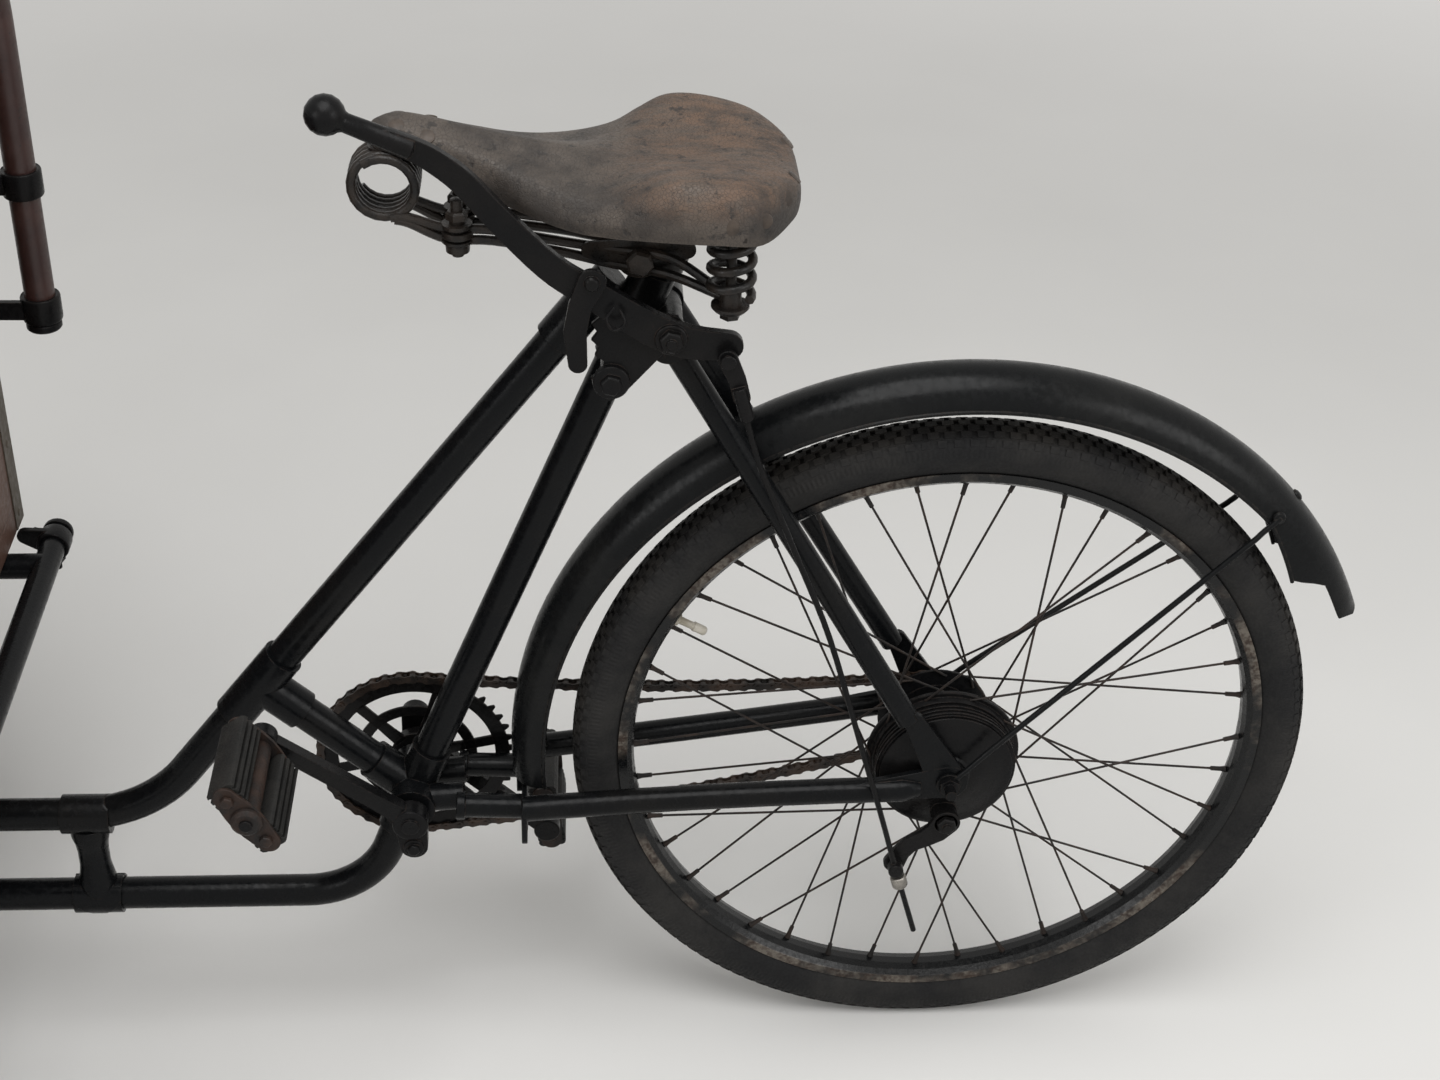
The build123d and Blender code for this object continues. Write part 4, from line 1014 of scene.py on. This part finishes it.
# Parking brake: a flat forged lever with a turned ball, on a notched plate bolted beside
# the seat lug; a pawl drops into the notches and a strap leads down to the rod.
pivot_x, pivot_z = 256, 782
ratchet = Workpiece()
teeth = []
for step in range(11):
    angle = radians(34 - 6.5 * step)
    reach = 62 - (5 if step % 2 else 0)
    teeth.append((pivot_x + reach * cos(angle), pivot_z + reach * sin(angle)))
outline = [(260, 766), (252, 769), (244, 776), (243, 788), (250, 797), (294, 805)] + teeth
outline += [(318, 743), (313, 728), (302, 722), (291, 730)]
ratchet.plate([(at(x, 0, z).x, at(x, 0, z).z) for x, z in outline], 0.0532, 0.0572)
ratchet.turned(at(302, 22, 741), (0, 1, 0),
               [(0, 0), (0, 8), (35, 8), (35, 15), (39.5, 14.5), (40.5, 12.5), (40.5, 0)], 32)
ratchet.nut(at(302, 62.5, 741), (0, 1, 0), 9.2, 6)
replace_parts(ratchet.make("ratchet_plate_cut", chassis, oiled_steel, "worn_steel", soften=0.5),
            "ratchet_plate")
lever = Workpiece()
lever.bar(61.5, through([(466, 944, 8.2), (449, 937, 8.6), (433, 928, 9.2), (412, 911, 9.8),
                         (386, 881, 10.4), (350, 843, 11.2), (319, 821, 12),
                         (pivot_x, pivot_z, 14), (211, 775, 11.5)], 4), 8)
lever.turned(at(509, 61.5, 962), at(447, 0, 936) - at(509, 0, 962),
             [(-15.5, 0), (-14, 6.5), (-11, 10.9), (-6, 14.3), (0, 15.5), (6, 14.3), (10.5, 11.4),
              (13, 8.5), (15.5, 7.4), (40, 8), (66, 8.5), (70, 0)], 32)
lever.bar(68.1, [(317, 832, 11), (326, 812, 9), (330, 790, 9), (328, 762, 7.5)], 4.5)
lever.turned(at(317, 62, 832), (0, 1, 0), [(0, 0), (0, 6), (10.5, 6), (12.5, 4.5), (12.8, 0)], 20)
lever.turned(at(pivot_x, 62, pivot_z), (0, 1, 0),
             [(0, 0), (0, 13), (5.5, 13), (6.2, 12), (6.2, 0)], 32)
lever.nut(at(pivot_x, 68, pivot_z), (0, 1, 0), 10, 6)
lever.turned(at(pivot_x, 73, pivot_z), (0, 1, 0), [(0, 0), (0, 4.6), (3, 4), (3.2, 0)], 18)
lever.wire(eased([(300, 70, 812), (306, 74, 803), (300, 76, 795), (292, 74, 800), (296, 70, 810)]),
           1.4, 8)
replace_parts(lever.make("brake_lever_forged", chassis, oiled_steel, "worn_steel", soften=1.2),
            "brake_lever")
pull = Workpiece()
pull.bar(72, [(212, 768, 8), (204, 750, 7), (200, 734, 7)], 4.5)
pull.turned(at(212, 60, 768), (0, 1, 0),
            [(0, 0), (0, 4), (17, 4), (17.5, 6.2), (19.5, 6.2), (20.5, 0)], 20)
pull.wire([at(203, 74, 744), at(195, 74.5, 716)], 5.8, 16)
pull.wire(eased([(200, 74, 735), (185, 74, 677), (151, 74, 589), (117, 74, 501),
                 (83, 74.7, 386), (58, 75.2, 301), (arm_end_x, 75.5, arm_end_z),
                 (19.5, 75.5, 167.3)]), 2.6, 12)
run_down = (at(19.5, 75.5, 167.3) - at(58, 75.2, 301)).normalized()
pull.turned(at(arm_end_x, 68, arm_end_z), (0, 1, 0),
            [(0, 0), (0, 7), (13, 7), (14, 6), (14, 0)], 22)
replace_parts(pull.make("brake_pull_rod", chassis, oiled_steel, "worn_steel", soften=0.6),
            "brake_rod")
grip = Workpiece()
knurled = at(arm_end_x, 75.5, arm_end_z) + run_down * 0.0095
grip.turned(knurled, run_down,
            [(0, 0), (0, 6.4), (1.5, 7.4), (11, 7.4), (12.5, 6.4), (12.5, 0)], 18)
bright_steel = rusty_steel("bright_steel", (0.16, 0.15, 0.135), (0.34, 0.32, 0.29), 0.42)
bright_steel.node_tree.nodes["Principled BSDF"].inputs["Metallic"].default_value = 0.85
grip.make("brake_rod_nut", chassis, bright_steel, "worn_steel", soften=0.4)


# Box: pine boards glued and screwed to a frame, painted brown, with rounded steel trim
# on its upright corners and round the lid; the paint has crazed and dulled.
board_width = 0.104


def brown_paint():
    """Dull brown paint over boards, with their seams, grain and small chips."""
    paint, tree, surface, where = bare_material("box_paint")
    apart = tree.nodes.new("ShaderNodeSeparateXYZ")
    tree.links.new(where, apart.inputs["Vector"])
    grain = mottle(tree, where, 26.0, 6.0, 0.6, (0.35, 0.35, 2.6))
    clouds = mottle(tree, where, 5.0, 5.0, 0.6)
    specks = mottle(tree, where, 240.0, 4.0, 0.6)
    coat = tint(tree, between(tree, clouds, 0.35, 0.68), (0.058, 0.026, 0.017),
                (0.088, 0.044, 0.029))
    coat = tint(tree, sums(tree, "MULTIPLY", between(tree, grain, 0.50, 0.72), 0.45), coat,
                (0.036, 0.019, 0.013))
    chips = between(tree, sums(tree, "ADD", sums(tree, "MULTIPLY", grain, 0.5),
                               sums(tree, "MULTIPLY", specks, 0.5)), 0.63, 0.69)
    coated(tree, surface,
           tint(tree, sums(tree, "MULTIPLY", chips, 0.6), coat, (0.145, 0.098, 0.066)),
           between(tree, specks, 0.3, 0.7, 0.45, 0.65), 0.4)
    board = sums(tree, "FRACT", sums(tree, "MULTIPLY", apart.outputs["Z"], 1 / board_width))
    seam = sums(tree, "MAXIMUM", between(tree, board, 0.018, 0.004),
                between(tree, board, 0.982, 0.996))
    upright = tree.nodes.new("ShaderNodeNewGeometry")
    facing = tree.nodes.new("ShaderNodeSeparateXYZ")
    tree.links.new(upright.outputs["Normal"], facing.inputs["Vector"])
    wall = sums(tree, "LESS_THAN", sums(tree, "ABSOLUTE", facing.outputs["Z"]), 0.5)
    relief(tree, surface, sums(tree, "SUBTRACT", sums(tree, "MULTIPLY", grain, 0.35),
                               sums(tree, "MULTIPLY", seam, wall)), 0.0012, 0.8)
    return paint


dress(brown_paint(), "box_rear", "box_front", "box_left", "box_right", "box_floor", "box_lid")
carriage = joints["steering"]["child"]
trim_steel = enamelled_steel("trim_steel", (0.072, 0.060, 0.047), (0.110, 0.096, 0.080),
                             (0.045, 0.030, 0.022), 0.5, 0.02)
box_back, box_nose, box_side, iron, flange = 880, 1700, 300, 1.2, 26
corners = Workpiece()
for x, inward in ((box_back, 1), (box_nose, -1)):
    for side in (-1, 1):
        outer, edge, wing = x - inward * iron, side * (box_side + iron), side * (box_side - flange)
        angle_iron = [(outer, edge), (x + inward * flange, edge),
                      (x + inward * flange, side * box_side), (x, side * box_side), (x, wing),
                      (outer, wing)]
        corners.skin([[at(px, py, z) for px, py in angle_iron] for z in (389, 907.5)])
        for z in (402, 480, 560, 640, 720, 800, 895):
            for spot, axis in ((at(x + inward * 14, edge, z), (0, side, 0)),
                               (at(outer, side * 287, z), (-inward, 0, 0))):
                corners.turned(spot, axis, [(0, 0), (0, 4.2), (1, 3.2), (1.3, 0)], 12)
corners.make("box_corner_irons", carriage, trim_steel, "worn_steel")
lid_body = joints["lid_hinge"]["child"]
lid_trim = Workpiece()
for side in (-1, 1):
    lid_trim.skin([[at(x, side * y, z) for y, z in ((310, 908), (311.2, 908), (311.2, 928.2),
                                                    (296, 928.2), (296, 927), (310, 927))]
                   for x in (869, 1711)])
for x, outward in ((870, -1), (1710, 1)):
    lid_trim.skin([[at(x + outward * u, y, z) for u, z in ((0, 908.3), (1.5, 908.3), (1.5, 928.5),
                                                           (-14, 928.5), (-14, 927), (0, 927))]
                   for y in (-311.5, 311.5)])
lid_trim.make("lid_edge_trim", lid_body, trim_steel, "worn_steel")
hinges = Workpiece()
for y in (-200, 200):
    hinges.skin([[at(x, y + dy, z) for x, z in ((1480, 927.2), (1480, 930.2), (1711, 930.2),
                                                (1711, 927.2))] for dy in (-16, 16)])
    hinges.wire([at(1712, y - 30, 914), at(1712, y + 30, 914)], 5.5, 14)
    for x in (1500, 1560, 1620, 1680):
        hinges.turned(at(x, y, 930.2), (0, 0, 1),
                      [(0, 0), (0, 6), (1.6, 5.2), (2.8, 2.5), (3, 0)], 14)
hinges.make("lid_hinge_straps", lid_body, oiled_steel, "worn_steel", soften=0.6)
hasp = Workpiece()
hasp.skin([[at(x, y, z) for y, z in ((-19, 926), (19, 926), (19, 880), (10, 862), (-10, 862),
                                     (-19, 880))] for x in (867.0, 869.2)])
hasp.make("lid_hasp", lid_body, oiled_steel, "worn_steel", soften=0.4)


# Push handle: one steel tube bent to an arch, lacquered red-brown, with a turned ferrule
# and cap on each foot; band clamps with a bolt each hold its posts to the box.
def red_brown_lacquer():
    """Thick lacquer, clouded and chipped down to dark steel."""
    lacquer, tree, surface, where = bare_material("red_brown_lacquer")
    patches = mottle(tree, where, 18.0, 6.0, 0.6)
    specks = mottle(tree, where, 260.0, 5.0, 0.6)
    coat = tint(tree, between(tree, patches, 0.38, 0.68), (0.026, 0.0105, 0.009),
                (0.046, 0.020, 0.016))
    coated(tree, surface, tint(tree, between(tree, specks, 0.62, 0.70), coat,
                               (0.014, 0.011, 0.010)), between(tree, specks, 0.3, 0.7, 0.30, 0.52),
           0.5)
    relief(tree, surface, specks, 0.0003, 0.6)
    return lacquer


dress(red_brown_lacquer(), "push_handle")
post_x, post_y, bar_x, bar_z = 829, 300, 845, 376
fittings = Workpiece()
for side in (-1, 1):
    fittings.turned(at(post_x, side * post_y, 600), (0, 0, 1),
                    [(0, 0), (0, 15), (2, 16.5), (7, 16.5), (9, 15), (12, 15), (12, 14.1),
                     (12, 0)], 36)
    for height in (622, 748):
        fittings.turned(at(post_x, side * post_y, height), (0, 0, 1),
                        [(-12.5, 16.5), (-12.5, 17.8), (-10.5, 18.4), (10.5, 18.4), (12.5, 17.8),
                         (12.5, 16.5)], 40, ring=True)
        fittings.nut(at(post_x, side * 318, height), (0, side, 0), 8, 6)
        fittings.wire([at(post_x, side * y, height) for y in (306, 327)], 4, 12)
        fittings.skin([[at(x, side * y, z) for x, z in ((876.5, height - 14), (880, height - 14),
                                                        (880, height + 14), (876.5, height + 14))]
                       for y in (272, 299)])
        fittings.nut(at(876.5, side * 280, height), (-1, 0, 0), 6.8, 5)
for x in (bar_x, 1665):
    for side in (-1, 1):
        fittings.turned(at(x, side * 288, bar_z), (0, side, 0),
                        [(0, 0), (0, 14.5), (3, 15), (6, 14.5), (7.5, 11), (7.5, 0)], 28)
for side in (-1, 1):
    fittings.turned(at(bar_x, side * 262, bar_z), (0, side, 0),
                    [(0, 12.5), (0, 15.5), (2, 16), (18, 16), (20, 15.5), (20, 12.5)],
                    32, ring=True)
    fittings.flat(side * 272, [(bar_x, bar_z, 15), (872, 384, 8)], 6)
    fittings.nut(at(862, side * 275, 381), (0, side, 0), 8.5, 6.5)
    fittings.nut(at(bar_x, side * 272, 361), (0, 0, -1), 8.5, 7)
    fittings.wire([at(bar_x, side * 272, z) for z in (362, 346)], 4, 12)
fittings.make("handle_fittings", carriage, oiled_steel, "worn_steel", soften=0.6)


# Studio: a pale floor that fades into a pale surround, a large soft lamp above and a
# weaker one on each side, all set so that a colour renders about as it is written.
pale = (0.80, 0.79, 0.77)


def seen_directly(tree):
    """1 where the camera, a reflection or a view through glass meets the surface."""
    path = tree.nodes.new("ShaderNodeLightPath")
    seen = sums(tree, "MAXIMUM", path.outputs["Is Camera Ray"], path.outputs["Is Glossy Ray"])
    return sums(tree, "MAXIMUM", seen, path.outputs["Is Transmission Ray"])


floor_mesh = bpy.data.meshes.new("floor")
floor_half, fade_from, fade_to = 14.0, 1.6, 5.5
floor_mesh.from_pydata([(-floor_half, -floor_half, 0), (floor_half, -floor_half, 0),
                        (floor_half, floor_half, 0), (-floor_half, floor_half, 0)],
                       [], [(0, 1, 2, 3)])
floor = bpy.data.objects.new("floor", floor_mesh)
bpy.context.scene.collection.objects.link(floor)
floor_material, floor_tree, floor_surface, floor_where = bare_material("pale_floor")
clouds = mottle(floor_tree, floor_where, 2.5, 3.0, 0.5)
coated(floor_tree, floor_surface,
       tint(floor_tree, clouds, (0.66, 0.655, 0.64), (0.72, 0.715, 0.70)), 0.8, 0.5)
from_middle = floor_tree.nodes.new("ShaderNodeVectorMath")
from_middle.operation = "LENGTH"
floor_tree.links.new(floor_where, from_middle.inputs[0])
far = between(floor_tree, from_middle.outputs["Value"], fade_from, fade_to)
glow = floor_tree.nodes.new("ShaderNodeEmission")
glow.inputs["Color"].default_value = (*pale, 1.0)
blend = floor_tree.nodes.new("ShaderNodeMixShader")
join(floor_tree, sums(floor_tree, "MULTIPLY", far, seen_directly(floor_tree)), blend.inputs["Fac"])
floor_tree.links.new(floor_surface.outputs["BSDF"], blend.inputs[1])
floor_tree.links.new(glow.outputs["Emission"], blend.inputs[2])
floor_tree.links.new(blend.outputs["Shader"],
                     floor_tree.nodes["Material Output"].inputs["Surface"])
floor_mesh.materials.append(floor_material)

world = bpy.data.worlds.new("surround")
bpy.context.scene.world = world
world.use_nodes = True
air = world.node_tree
backdrop = air.nodes["Background"]
backdrop.inputs["Color"].default_value = (*pale, 1.0)
ambient_level = 0.55
join(air, sums(air, "MULTIPLY_ADD", seen_directly(air), 1.0 - ambient_level, ambient_level),
     backdrop.inputs["Strength"])

lamps = [
    ("top_lamp", (-0.3, 0.9, 3.4), (-0.2, 0.0, 0.3), 2.6, 78.0),
    ("side_lamp", (-2.6, 1.6, 1.7), (-0.4, 0.0, 0.4), 1.6, 22.0),
    ("front_lamp", (2.4, 2.4, 1.9), (-0.2, 0.0, 0.4), 1.8, 24.0),
]
for lamp_name, place, target, size, watts in lamps:
    light = bpy.data.lights.new(lamp_name, "AREA")
    light.shape = "DISK"
    light.size = size
    light.energy = watts
    lamp = bpy.data.objects.new(lamp_name, light)
    lamp.location = place
    aim = Vector(target) - Vector(place)
    lamp.rotation_euler = aim.to_track_quat("-Z", "Y").to_euler()
    bpy.context.scene.collection.objects.link(lamp)

camera_place = Vector((-0.3479, 1.5450, 1.5688))
camera_aim = Vector((-0.06415, -0.83394, -0.54812))
camera_roll = radians(2.11)
camera_data = bpy.data.cameras.new("camera")
camera_data.sensor_width = 36.0
camera_data.lens = 54.08
camera = bpy.data.objects.new("camera", camera_data)
level = camera_aim.to_track_quat("-Z", "Y").to_matrix()
camera.matrix_world = (Matrix.Translation(camera_place)
                       @ (level @ Matrix.Rotation(camera_roll, 3, "Z")).to_4x4())
bpy.context.scene.collection.objects.link(camera)
bpy.context.scene.camera = camera
bpy.context.scene.view_settings.view_transform = "Standard"
